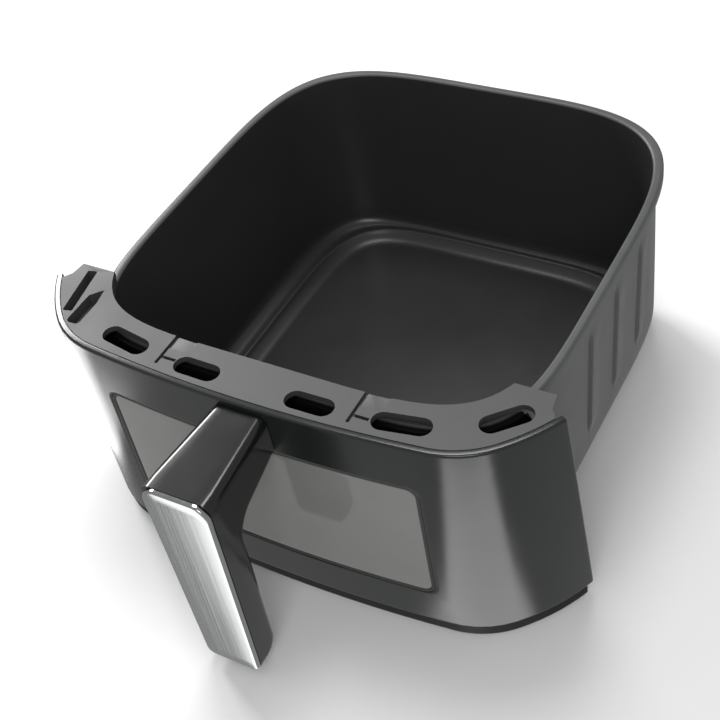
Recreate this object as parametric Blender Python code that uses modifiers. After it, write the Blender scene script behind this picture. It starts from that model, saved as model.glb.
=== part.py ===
"""Drawer of a square air fryer: a deep pan on a steel bracket, behind a bowed front with a handle.

X runs across the drawer, +Y to the back of the pan and +Z up. The origin is the centre of the
pan's floor, where food rests. The handle stands out of the front towards -Y. Heights below are
measured from the pan's flat underside, and one parent empty lowers every piece by the sheet.
"""

import math

import bmesh
import bpy
from mathutils import Matrix, Vector

MM = 0.001

# Fits
GAP = 0.3 * MM                    # between pieces that touch
HOLE_CLEARANCE = 0.4 * MM         # between a shank and its hole, on the radius
ROOTED = 0.5 * MM                 # how far a joined body starts inside the one it grows from
CUT_PAST = 20.0 * MM              # how far a cutter reaches past what it cuts

# Pan
PAN_HEIGHT = 119.0 * MM
PAN_HALF_WIDTH = 122.0 * MM       # to the outside of the rim
PAN_REAR = 129.2 * MM             # from the origin back to the outside of the rim
PAN_FRONT = 119.5 * MM            # from the origin forward to the outside of the rim
PAN_REAR_SQUARENESS = 4.15        # exponent of the rounded square, rear half
PAN_FRONT_SQUARENESS = 5.0        # and front half
PAN_SHEET = 1.5 * MM
RIM_WIDTH = 5.0 * MM
RIM_DROP = 5.0 * MM               # height of the rim's turned-down edge
RIM_ROUND = 1.2 * MM
SIDE_DRAFT = 4.0 * MM             # how far each wall leans in on its way down
REAR_DRAFT = 1.2 * MM
FRONT_DRAFT = 4.0 * MM
WALL_FOOT = 15.0 * MM             # height at which the wall turns into the floor
LEDGE_HEIGHT = 7.0 * MM
SIDE_LEDGE = 9.0 * MM             # from the foot of the wall in to the ledge
REAR_LEDGE = 4.0 * MM
FRONT_LEDGE = 7.0 * MM
LEDGE_WIDTH = 1.4 * MM
FLOOR_INSET = 10.5 * MM           # from the ledge to the flat of the floor
FLOOR_SQUARENESS_GAIN = 1.1
BEAD_COUNT = 3                    # pressed stiffening beads on each side wall
BEAD_PITCH = 34.0 * MM
BEAD_CENTRE = 19.5 * MM           # middle bead, back from the origin
BEAD_WIDTH = 8.0 * MM
BEAD_FOOT = 30.0 * MM
BEAD_TOP = PAN_HEIGHT - 23.0 * MM
BEAD_RISE = 1.0 * MM

# Front: outline in plan, as arcs that meet in tangents
FRONT_REACH = PAN_FRONT + 21.0 * MM          # from the origin to the middle of the front
BOW_RADIUS = 840.0 * MM
BOW_HALF_WIDTH = PAN_HALF_WIDTH - 32.0 * MM
CORNER_RADIUS = 50.0 * MM
CORNER_TURN = math.radians(45.0)
WING_RADIUS = 110.0 * MM
WING_TURN = math.radians(68.5)
SHELL_WALL = 3.0 * MM
SHELL_EDGE = 1.2 * MM
WING_TOP_END = PAN_FRONT - 23.5 * MM         # from the origin to the wing's rear edge, at the top
WING_FOOT_END = PAN_FRONT - 33.5 * MM        # and at the foot

# Deck
DECK_RISE = 7.8 * MM              # top of the deck above the pan's rim
DECK_SHEET = 3.0 * MM
DECK_SEAM = 0.5 * MM
DECK_STEP = 0.3 * MM              # set back of the skirt and seat from the plate's edges
DECK_SKIRT = 5.0 * MM
DECK_SKIRT_WALL = 2.0 * MM
DECK_OVERHANG = 1.2 * MM          # past the rim's inner edge
DECK_SEAT = 3.6 * MM              # width of the wall that stands on the rim
DECK_TAIL_END = PAN_FRONT - 34.5 * MM        # from the origin to the deck's rear ends
DECK_TAIL_STEP = 3.4 * MM         # in from the wing to the deck's rear end
DECK_TAIL_TAPER = 1.0 * MM
DECK_TAIL_NOTCH = 3.0 * MM        # behind the wing's rear edge
DECK_WING_STOP = 1.5 * MM         # in front of it
DECK_SKIRT_STOP = 4.0 * MM
VENT_WIDTH = 10.6 * MM
VENT_PITCH = PAN_HALF_WIDTH * 0.361          # between the vents, and from the first to the middle
VENT_SHIFT = 13.7 * MM            # vents lie this much nearer to the middle
MARK_SHIFT = 14.6 * MM
VENT_INNER_LENGTH = 24.8 * MM
VENT_INNER_FORWARD = FRONT_REACH - 12.5 * MM
VENT_INNER_TURN = 1.0             # degrees
VENT_OUTER_LENGTH = 28.0 * MM
VENT_OUTER_FORWARD = FRONT_REACH - 16.5 * MM
VENT_OUTER_TURN = 9.5
VENT_CORNER_LENGTH = 25.0 * MM
VENT_CORNER_ACROSS = PAN_HALF_WIDTH - 6.8 * MM
VENT_CORNER_FORWARD = PAN_FRONT - 14.1 * MM
VENT_CORNER_TURN = 44.5
MARK_WIDTH = 1.7 * MM             # slits between the vents, each with a crossbar
MARK_DEPTH = 2.0 * MM
MARK_END = FRONT_REACH - 8.9 * MM
MARK_BAR = 8.4 * MM
MARK_BAR_FORWARD = FRONT_REACH - 13.5 * MM
MARK_START = PAN_FRONT - 9.0 * MM            # past the deck's inner edge
POCKET_WIDTH = 12.0 * MM          # shallow recess beside each slit, open to the pan
POCKET_DEPTH = 0.8 * MM
POCKET_END = PAN_FRONT + 1.5 * MM
POCKET_ROUND = 3.0 * MM
KEYWAY_WIDTH = 5.4 * MM           # two slots in the left end, for the body's safety switch
KEYWAY_WEB = 1.3 * MM
KEYWAY_BACK = (0.8 * MM - PAN_HALF_WIDTH, 31.3 * MM - PAN_FRONT)     # outer slot, from the rear
KEYWAY_FRONT = (6.1 * MM - PAN_HALF_WIDTH, 2.5 * MM - PAN_FRONT)     # to the front
KEYWAY_INNER_EDGE = 17.6 * MM - PAN_HALF_WIDTH
KEYWAY_INNER_TIP = 21.5 * MM - PAN_FRONT
KEYWAY_INNER_END = -4.0 * MM - PAN_FRONT
KEYWAY_FLOOR = 1.2 * MM           # left under the slots
KEYWAY_MARGIN = 1.6 * MM          # of the block round them
KEYWAY_BLOCK_INSET = 0.7 * MM     # of the block inside the deck's outline
KEYWAY_BLOCK_REAR = 9.0 * MM      # width of its rear end
KEYWAY_BLOCK_DEPTH = 11.0 * MM    # of the slant from there to its inner side
KEYWAY_ROUND = 1.0 * MM
KEYWAY_INNER_ROUND = 2.2 * MM
KEYWAY_TIP_IN = 2.0 * MM          # the inner slot's point: in from its right edge
KEYWAY_TIP_LEFT = 6.0 * MM        # and back from where each side ends
KEYWAY_TIP_RIGHT = 10.0 * MM

# Window in the front
WINDOW_HALF_WIDTH = BOW_HALF_WIDTH - 7.0 * MM
WINDOW_FOOT = 24.0 * MM
WINDOW_BELOW_DECK = 28.3 * MM
WINDOW_ROUND = 5.0 * MM
PANE_THICKNESS = 3.0 * MM
PANE_SINK = 0.4 * MM
SEAL_WIDTH = 1.2 * MM
FRAME_SHEET = 1.5 * MM
FRAME_INWARD = 3.0 * MM
FRAME_OUTWARD = 4.0 * MM

# Base and inner cover
FRONT_DROP = 8.5 * MM             # how far the front and the pan's feet reach below the pan
BASE_HEIGHT = 8.0 * MM
BASE_FLOOR = 2.6 * MM
BASE_SINK = 1.0 * MM              # set back of the band from the shell's face
BASE_BAND = SHELL_WALL
BASE_EDGE = 2.4 * MM
BASE_WING_STOP = 3.0 * MM         # in front of the wing's rear edge
COVER_SHEET = 2.2 * MM
COVER_CLEARANCE = 0.8 * MM        # from the pan's rim to the cover
COVER_FLAP_ROOT = PAN_FRONT - 27.5 * MM      # from the origin to where its side flaps start
COVER_FLAP_FORWARD = 6.0 * MM     # of the wing's rear edge

# Handle
HANDLE_REACH = 52.7 * MM          # from the front to the plate's back
HANDLE_BELOW_DECK = 3.6 * MM
HANDLE_LIFT = 5.1 * MM            # of the grip's foot above the front's
HANDLE_ROOT_HEIGHT = 24.2 * MM    # of the bridge at the front
HANDLE_ELBOW_HEIGHT = 32.2 * MM   # and over the grip
GRIP_DEPTH = 17.0 * MM
HANDLE_ROOT_WIDTH = 28.5 * MM
GRIP_TOP_WIDTH = 36.5 * MM
GRIP_FOOT_WIDTH = 30.5 * MM
HANDLE_EDGE = 4.6 * MM
ELBOW_RADIUS = 13.0 * MM
HEEL_RADIUS = 11.0 * MM
PLATE_THICKNESS = 2.0 * MM
PLATE_EDGE = 0.7 * MM
PLATE_MARGIN = 0.2 * MM
BACKING_SHEET = 2.0 * MM
BACKING_HALF_WIDTH = 30.0 * MM
BACKING_HEIGHT = 7.6 * MM
BACKING_CORNER = 2.4 * MM
HANDLE_SCREW_SPAN = 14.0 * MM
SCREW_SHANK = 2.0 * MM
SCREW_HEAD = 3.6 * MM
SCREW_HEAD_HEIGHT = 2.2 * MM
SCREW_BITE = 12.0 * MM
SCREW_TIP = 1.0 * MM              # length of the chamfer, and of the hole past it

# Pan bracket
BRACKET_SHEET = 1.5 * MM
BRACKET_HALF_WIDTH = 56.0 * MM
BRACKET_FOOT = PAN_HEIGHT - 65.0 * MM
BRACKET_TOP = PAN_HEIGHT - 11.0 * MM
BRACKET_CORNER = 6.0 * MM
RIVET_SPAN = 64.0 * MM
RIVET_MARGIN = 11.5 * MM          # from the bracket's upper and lower edges
RIVET_SHANK = 2.0 * MM
RIVET_HEAD = 4.2 * MM
RIVET_HEAD_HEIGHT = 1.2 * MM
BRACKET_SCREW_SPAN = 96.0 * MM
BOSS_RADIUS = 5.0 * MM

# Feet under the pan
FOOT_RADIUS = 7.0 * MM
FOOT_ACROSS = PAN_HALF_WIDTH - 44.0 * MM
FOOT_BACK = PAN_REAR - 47.2 * MM
FOOT_FORWARD = PAN_FRONT - 45.5 * MM

# Screws up through the base into the cover
BASE_SCREW_ACROSS = 70.0 * MM
BASE_BOSS_RADIUS = 7.15 * MM - SHELL_WALL / 2      # fills the space behind the base's band
BASE_BOSS_TOP = 6.4 * MM
COVER_BOSS_TOP = 21.0 * MM
BASE_SCREW_BITE = 10.0 * MM

ACROSS = Matrix(((0, 0, 1, 0), (1, 0, 0, 0), (0, 1, 0, 0), (0, 0, 0, 1)))   # X, Y, Z to Y, Z, X
DECK_TOP = PAN_HEIGHT + DECK_RISE
WINDOW_TOP = DECK_TOP - WINDOW_BELOW_DECK
HANDLE_TOP = DECK_TOP - HANDLE_BELOW_DECK
HANDLE_ROOT_FOOT = HANDLE_TOP - HANDLE_ROOT_HEIGHT
HANDLE_ELBOW = HANDLE_TOP - HANDLE_ELBOW_HEIGHT
BEAD_HEIGHT = BEAD_TOP - BEAD_FOOT
BEAD_MIDDLE = (BEAD_TOP + BEAD_FOOT) / 2
RIVET_HEIGHTS = (BRACKET_FOOT + RIVET_MARGIN, BRACKET_TOP - RIVET_MARGIN)
BRACKET_SCREW_HEIGHT = (BRACKET_FOOT + BRACKET_TOP) / 2
STAND = -FRONT_DROP                # height of the plane that the drawer stands on
SHELL_FOOT = STAND + BASE_HEIGHT + GAP
COVER_FOOT = STAND + BASE_FLOOR + GAP
HANDLE_FOOT = STAND + HANDLE_LIFT
COVER_TOP = DECK_TOP - DECK_SHEET - DECK_SKIRT - GAP
BACKING_TOP = DECK_TOP - DECK_SHEET - DECK_SKIRT - 2 * GAP
BACKING_FOOT = BACKING_TOP - BACKING_HEIGHT
HANDLE_SCREW_HEIGHT = (BACKING_TOP + BACKING_FOOT) / 2
PLATE_BACK = -(FRONT_REACH + HANDLE_REACH)
HANDLE_FACE = PLATE_BACK + GAP
HANDLE_ROOT = -(FRONT_REACH + GAP)


# ---------------------------------------------------------------- scene and materials

for old in list(bpy.data.objects):
    bpy.data.objects.remove(old, do_unlink=True)

parts = bpy.data.collections.new("air_fryer_drawer")
cutters = bpy.data.collections.new("cutters")
bpy.context.scene.collection.children.link(parts)
bpy.context.scene.collection.children.link(cutters)


def material(name, colour, roughness, metallic=0.0):
    """A plain Principled material."""
    mat = bpy.data.materials.new(name)
    mat.use_nodes = True
    bsdf = mat.node_tree.nodes["Principled BSDF"]
    bsdf.inputs["Base Color"].default_value = (*colour, 1.0)
    bsdf.inputs["Roughness"].default_value = roughness
    bsdf.inputs["Metallic"].default_value = metallic
    return mat


NONSTICK = material("nonstick_coating", (0.035, 0.035, 0.036), 0.42)
DECK_PLASTIC = material("deck_plastic", (0.22, 0.22, 0.22), 0.55)
SHELL_PLASTIC = material("shell_plastic", (0.10, 0.105, 0.105), 0.22)
TRIM_PLASTIC = material("trim_plastic", (0.035, 0.035, 0.035), 0.38)
COVER_PLASTIC = material("cover_plastic", (0.05, 0.05, 0.05), 0.6)
HANDLE_PLASTIC = material("handle_plastic", (0.03, 0.03, 0.03), 0.24)
BRUSHED = material("brushed_stainless", (0.62, 0.63, 0.63), 0.3, 1.0)
ZINC = material("zinc_steel", (0.55, 0.55, 0.56), 0.38, 1.0)
MIRROR_GLASS = material("tinted_glass", (0.16, 0.165, 0.162), 0.08)
SEAL_RUBBER = material("seal_rubber", (0.02, 0.02, 0.02), 0.7)


# ---------------------------------------------------------------- helpers

def add_mesh(name, mesh, mat=None, where=parts):
    """Link a mesh as an object; a piece gets its material, a cutter is hidden."""
    obj = bpy.data.objects.new(name, mesh)
    where.objects.link(obj)
    if mat is not None:
        mesh.materials.clear()
        mesh.materials.append(mat)
    if where is cutters:
        obj.hide_render = True
        obj.display_type = "WIRE"
    return obj


def outline_solid(name, points, low, high, mat=None, where=parts):
    """A flat closed outline in X and Y, filled and extruded from low to high in Z."""
    curve = bpy.data.curves.new(name, "CURVE")
    curve.dimensions = "2D"
    curve.fill_mode = "BOTH"
    curve.extrude = (high - low) / 2
    spline = curve.splines.new("POLY")
    spline.points.add(len(points) - 1)
    for point, (x, y) in zip(spline.points, points):
        point.co = (x, y, 0.0, 1.0)
    spline.use_cyclic_u = True
    flat = bpy.data.objects.new(name + "_outline", curve)
    bpy.context.scene.collection.objects.link(flat)
    depsgraph = bpy.context.evaluated_depsgraph_get()
    mesh = bpy.data.meshes.new_from_object(flat.evaluated_get(depsgraph))
    bpy.data.objects.remove(flat, do_unlink=True)
    bpy.data.curves.remove(curve)
    mesh.name = name
    mesh.transform(Matrix.Translation((0.0, 0.0, (low + high) / 2)))
    bm = bmesh.new()
    bm.from_mesh(mesh)
    bmesh.ops.remove_doubles(bm, verts=bm.verts, dist=1e-6)
    bmesh.ops.recalc_face_normals(bm, faces=bm.faces)
    bm.to_mesh(mesh)
    bm.free()
    return add_mesh(name, mesh, mat, where)


def facing_solid(name, points, near, far, mat=None, where=parts):
    """A closed outline in X and Z, extruded in Y between the two places given."""
    obj = outline_solid(name, points, -max(near, far), -min(near, far), mat, where)
    obj.data.transform(Matrix.Rotation(math.radians(90), 4, "X"))
    return obj


def cylinder(name, radius, near, far, mat=None, where=parts, sides=24, matrix=None):
    """A cylinder along Y from near to far, about the Y axis, then moved by a matrix."""
    mesh = bpy.data.meshes.new(name)
    bm = bmesh.new()
    bmesh.ops.create_cone(bm, cap_ends=True, segments=sides, radius1=radius, radius2=radius,
                          depth=abs(far - near))
    bm.to_mesh(mesh)
    bm.free()
    mesh.transform(Matrix.Rotation(math.radians(90), 4, "X"))
    mesh.transform(Matrix.Translation((0.0, (near + far) / 2, 0.0)))
    if matrix is not None:
        mesh.transform(matrix)
    return add_mesh(name, mesh, mat, where)


def boolean(obj, tool, operation="DIFFERENCE"):
    """Cut, join or intersect a piece with a cutter, exactly."""
    modifier = obj.modifiers.new(tool.name, "BOOLEAN")
    modifier.operation = operation
    modifier.solver = "EXACT"
    modifier.object = tool
    return modifier


def bevel(obj, width, segments=2, angle=35.0):
    """Round the edges sharper than an angle."""
    modifier = obj.modifiers.new("edges", "BEVEL")
    modifier.width = width
    modifier.segments = segments
    modifier.limit_method = "ANGLE"
    modifier.angle_limit = math.radians(angle)
    modifier.harden_normals = False
    return modifier


def smooth(obj, angle=32.0):
    """Shade round faces smooth and keep the corners sharp."""
    obj.data.shade_smooth()
    obj.data.set_sharp_from_angle(angle=math.radians(angle))


def baked(obj):
    """Replace a piece's mesh by its evaluated mesh, so that it can be cut again."""
    depsgraph = bpy.context.evaluated_depsgraph_get()
    mesh = bpy.data.meshes.new_from_object(obj.evaluated_get(depsgraph))
    obj.modifiers.clear()
    obj.data = mesh
    return obj


def rounded(corners, steps=5):
    """An outline through (x, y, radius) corners, each rounded with an arc."""
    points = []
    for index, (x, y, radius) in enumerate(corners):
        here = Vector((x, y))
        if radius == 0.0:
            points.append((x, y))
            continue
        before = (Vector(corners[index - 1][:2]) - here).normalized()
        after = (Vector(corners[(index + 1) % len(corners)][:2]) - here).normalized()
        half = before.angle(after) / 2
        start = here + before * (radius / math.tan(half))
        centre = here + (before + after).normalized() * (radius / math.sin(half))
        spoke = start - centre
        turn = math.pi - 2 * half
        if before.x * after.y - before.y * after.x > 0:
            turn = -turn
        for step in range(steps + 1):
            angle = turn * step / steps
            cos, sin = math.cos(angle), math.sin(angle)
            points.append((centre.x + cos * spoke.x - sin * spoke.y,
                           centre.y + sin * spoke.x + cos * spoke.y))
    return points


def stadium(across, forward, length, width, turn, steps=10):
    """A slot with round ends, centred at (across, -forward) and turned in degrees."""
    straight = (length - width) / 2
    points = []
    for side in (1, -1):
        for step in range(steps + 1):
            angle = -math.pi / 2 * side + math.pi * step / steps
            points.append((side * straight + width / 2 * math.cos(angle),
                           width / 2 * math.sin(angle)))
    turned = Matrix.Rotation(math.radians(turn), 2)
    return [tuple(turned @ Vector(p) + Vector((across, -forward))) for p in points]


# ---------------------------------------------------------------- outlines

def pan_point(angle, inset_side, inset_rear, inset_front, gain=0.0):
    """A point of the pan's rounded square, inset by its own amount on each side."""
    cos, sin = math.cos(angle), math.sin(angle)
    rear = sin >= 0.0
    power = (PAN_REAR_SQUARENESS if rear else PAN_FRONT_SQUARENESS) + gain
    depth = PAN_REAR - inset_rear if rear else PAN_FRONT - inset_front
    x = math.copysign(abs(cos) ** (2 / power), cos) * (PAN_HALF_WIDTH - inset_side)
    y = math.copysign(abs(sin) ** (2 / power), sin) * depth
    return x, y


def front_depth(outward, across):
    """How far forward the pan's front outline, moved outwards, lies at a place across."""
    power = PAN_FRONT_SQUARENESS
    share = abs(across) / (PAN_HALF_WIDTH + outward)
    return (PAN_FRONT + outward) * (1 - share ** power) ** (1 / power)


def pan_front_line(outward, reach, count=40):
    """The pan's front outline, moved outwards, from left to right, where it is past a depth."""
    line = []
    for step in range(count + 1):
        x, y = pan_point(math.pi * (1 + step / count), -outward, -outward, -outward)
        if y < -reach:
            line.append((x, y))
    edge = PAN_HALF_WIDTH + outward
    power = PAN_FRONT_SQUARENESS
    x = edge * (1 - (reach / (PAN_FRONT + outward)) ** power) ** (1 / power)
    return [(-x, -reach)] + line + [(x, -reach)]


def front_line(inset, turn=WING_TURN, steps=(6, 14, 8)):
    """The front's outline in plan, moved inwards, from its left end to its right end."""
    bow_turn = math.asin(BOW_HALF_WIDTH / BOW_RADIUS)
    arcs = ((BOW_RADIUS, 0.0, bow_turn), (CORNER_RADIUS, bow_turn, CORNER_TURN),
            (WING_RADIUS, CORNER_TURN, turn))
    x, y = 0.0, -FRONT_REACH
    right = [(x, y + inset)]
    for (radius, first, last), count in zip(arcs, steps):
        centre = Vector((x - radius * math.sin(first), y + radius * math.cos(first)))
        for step in range(1, count + 1):
            angle = first + (last - first) * step / count
            right.append((centre.x + (radius - inset) * math.sin(angle),
                          centre.y - (radius - inset) * math.cos(angle)))
        x = centre.x + radius * math.sin(last)
        y = centre.y - radius * math.cos(last)
    return [(-px, py) for px, py in reversed(right[1:])] + right


def front_sheet(name, outer, inner, low, high, mat, turn=WING_TURN):
    """A wall that follows the front's outline between two insets."""
    points = front_line(outer, turn) + front_line(inner, turn)[::-1]
    return outline_solid(name, points, low, high, mat)


def window_outline(margin):
    """The window's rounded rectangle, grown by a margin."""
    half = WINDOW_HALF_WIDTH + margin
    radius = WINDOW_ROUND + margin
    return rounded([(-half, WINDOW_FOOT - margin, radius), (half, WINDOW_FOOT - margin, radius),
                    (half, WINDOW_TOP + margin, radius), (-half, WINDOW_TOP + margin, radius)])


def window_cutter(name, margin):
    """A prism of the window's outline, long enough to pass through the whole front."""
    return facing_solid(name, window_outline(margin), -FRONT_REACH - CUT_PAST,
                        -FRONT_REACH + CUT_PAST, where=cutters)


# ---------------------------------------------------------------- pan

def wall_inset(height):
    """Insets of the pan's inner wall (side, rear, front) at a height."""
    share = (PAN_HEIGHT - height) / (PAN_HEIGHT - WALL_FOOT)
    return tuple(RIM_WIDTH + share * draft for draft in (SIDE_DRAFT, REAR_DRAFT, FRONT_DRAFT))


def pan_section():
    """The pan's section: (side, rear and front inset, height, squareness gain) from lip to floor."""
    rows = [((0.0,) * 3, PAN_HEIGHT - RIM_DROP, 0.0),
            ((0.0,) * 3, PAN_HEIGHT - RIM_ROUND, 0.0),
            ((RIM_ROUND * 0.3,) * 3, PAN_HEIGHT - RIM_ROUND * 0.3, 0.0),
            ((RIM_ROUND,) * 3, PAN_HEIGHT, 0.0),
            ((RIM_WIDTH - RIM_ROUND,) * 3, PAN_HEIGHT, 0.0),
            ((RIM_WIDTH - RIM_ROUND * 0.3,) * 3, PAN_HEIGHT - RIM_ROUND * 0.3, 0.0),
            (wall_inset(PAN_HEIGHT - RIM_ROUND), PAN_HEIGHT - RIM_ROUND, 0.0),
            (wall_inset(WALL_FOOT), WALL_FOOT, FLOOR_SQUARENESS_GAIN)]
    foot = wall_inset(WALL_FOOT)
    ledges = (SIDE_LEDGE, REAR_LEDGE, FRONT_LEDGE)

    def row(share, further, height):
        insets = tuple(start + share * ledge + further for start, ledge in zip(foot, ledges))
        rows.append((insets, height, FLOOR_SQUARENESS_GAIN))

    fall = WALL_FOOT - LEDGE_HEIGHT
    for step in (1, 2, 3):
        angle = math.pi / 2 * step / 3
        row(1 - math.cos(angle), 0.0, WALL_FOOT - fall * math.sin(angle))
    row(1.0, LEDGE_WIDTH, LEDGE_HEIGHT)
    drop = LEDGE_HEIGHT - PAN_SHEET
    for step in (1, 2, 3, 4):
        share = step / 4
        row(1.0, LEDGE_WIDTH + FLOOR_INSET * share ** 1.6,
            LEDGE_HEIGHT - drop * math.sin(math.pi / 2 * share))
    return rows


def make_pan():
    """The deep pan: an open surface from the lip to the floor, made solid outwards."""
    around = 64
    mesh = bpy.data.meshes.new("pan")
    bm = bmesh.new()
    rings = []
    for (side, rear, front), height, gain in pan_section():
        ring = [bm.verts.new((*pan_point(2 * math.pi * (k + 0.5) / around, side, rear, front, gain),
                              height)) for k in range(around)]
        rings.append(ring)
    for upper, lower in zip(rings, rings[1:]):
        for k in range(around):
            after = (k + 1) % around
            bm.faces.new((upper[k], lower[k], lower[after], upper[after]))
    bm.faces.new(rings[-1])
    bmesh.ops.recalc_face_normals(bm, faces=bm.faces)
    floor = min(bm.faces, key=lambda face: face.calc_center_median().z)
    if floor.normal.z < 0:
        bmesh.ops.reverse_faces(bm, faces=bm.faces)
    bm.to_mesh(mesh)
    bm.free()
    pan = add_mesh("pan", mesh, NONSTICK)
    solid = pan.modifiers.new("sheet", "SOLIDIFY")
    solid.thickness = PAN_SHEET
    solid.offset = -1.0
    solid.use_even_offset = True
    baked(pan)
    for side in (-1, 1):
        for index in range(BEAD_COUNT):
            boolean(pan, bead_tool(side, index), "UNION")
    return pan


def bead_tool(side, index):
    """One pressed bead: a rounded bar that leans with the side wall and swells out of it."""
    back = BEAD_CENTRE + (index - (BEAD_COUNT - 1) / 2) * BEAD_PITCH
    inset = wall_inset(BEAD_MIDDLE)[0] - PAN_SHEET
    rear = wall_inset(BEAD_MIDDLE)[1] - PAN_SHEET
    front = wall_inset(BEAD_MIDDLE)[2] - PAN_SHEET
    gain = FLOOR_SQUARENESS_GAIN * (PAN_HEIGHT - BEAD_MIDDLE) / (PAN_HEIGHT - WALL_FOOT)
    depth = PAN_REAR - rear if back >= 0 else PAN_FRONT - front
    power = (PAN_REAR_SQUARENESS if back >= 0 else PAN_FRONT_SQUARENESS) + gain
    half_width = PAN_HALF_WIDTH - inset
    share = abs(back) / depth
    across = half_width * (1 - share ** power) ** (1 / power)
    slope = half_width / depth * share ** (power - 1) * (1 - share ** power) ** (1 / power - 1)
    bpy.ops.mesh.primitive_cube_add(size=1.0)
    obj = bpy.context.object
    obj.name = "bead_%s_%d" % ("right" if side > 0 else "left", index + 1)
    mesh = obj.data
    sunk = PAN_SHEET * 0.6
    mesh.transform(Matrix.Diagonal((sunk + BEAD_RISE, BEAD_WIDTH, BEAD_HEIGHT, 1.0)))
    mesh.transform(Matrix.Translation(((BEAD_RISE - sunk) / 2, 0.0, 0.0)))
    lean = math.atan2(SIDE_DRAFT, PAN_HEIGHT - WALL_FOOT)
    mesh.transform(Matrix.Rotation(lean, 4, "Y"))
    mesh.transform(Matrix.Rotation(math.copysign(math.atan(slope), back), 4, "Z"))
    mesh.transform(Matrix.Translation((across, back, BEAD_MIDDLE)))
    if side < 0:
        mesh.transform(Matrix.Diagonal((-1.0, 1.0, 1.0, 1.0)))
        mesh.flip_normals()
    for collection in obj.users_collection:
        collection.objects.unlink(obj)
    cutters.objects.link(obj)
    obj.hide_render = True
    obj.display_type = "WIRE"
    bevel(obj, BEAD_RISE * 0.8, 2)
    return obj


# ---------------------------------------------------------------- front

def make_shell():
    """The bowed front: a wall with a window opening, whose rear edges lean back to the foot."""
    shell = front_sheet("front_shell", 0.0, SHELL_WALL, SHELL_FOOT, DECK_TOP, SHELL_PLASTIC)
    slope = (WING_TOP_END - WING_FOOT_END) / (DECK_TOP - SHELL_FOOT)
    low, high = SHELL_FOOT - CUT_PAST, DECK_TOP + CUT_PAST
    outline = [(-WING_FOOT_END - slope * (low - SHELL_FOOT), low),
               (0.0, low), (0.0, high),
               (-WING_TOP_END - slope * (high - DECK_TOP), high)]
    side = PAN_HALF_WIDTH * 2
    trim = outline_solid("wing_end_cutter", outline, -side, side, where=cutters)
    trim.data.transform(ACROSS)
    boolean(shell, trim)
    boolean(shell, window_cutter("window_opening", SEAL_WIDTH + 2 * GAP))
    bevel(shell, SHELL_EDGE, 2, 60.0)
    return shell


def make_window():
    """The pane, its seal and the steel frame that holds it from behind."""
    pane = front_sheet("window_pane", PANE_SINK, PANE_SINK + PANE_THICKNESS,
                       WINDOW_FOOT - CUT_PAST, WINDOW_TOP + CUT_PAST, MIRROR_GLASS)
    boolean(pane, window_cutter("pane_outline", 0.0), "INTERSECT")
    seal = front_sheet("window_seal", PANE_SINK * 1.5, SHELL_WALL,
                       WINDOW_FOOT - CUT_PAST, WINDOW_TOP + CUT_PAST, SEAL_RUBBER)
    boolean(seal, window_cutter("seal_outline", GAP + SEAL_WIDTH), "INTERSECT")
    boolean(seal, window_cutter("seal_opening", GAP))
    front = PANE_SINK + PANE_THICKNESS + GAP
    frame = front_sheet("window_frame", front, front + FRAME_SHEET,
                        WINDOW_FOOT - CUT_PAST, WINDOW_TOP + CUT_PAST, ZINC)
    boolean(frame, window_cutter("frame_outline", FRAME_OUTWARD), "INTERSECT")
    boolean(frame, window_cutter("frame_opening", -FRAME_INWARD))
    return pane, seal, frame


def trimmed(line, reach):
    """A left-to-right line, cut off where it comes back past a reach."""
    kept = [p for p in line if p[1] < -reach]
    first, last = line.index(kept[0]), line.index(kept[-1])

    def crossing(a, b):
        share = (-reach - a[1]) / (b[1] - a[1])
        return a[0] + share * (b[0] - a[0]), -reach

    return [crossing(line[first - 1], line[first])] + kept + [crossing(line[last], line[last + 1])]


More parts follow.
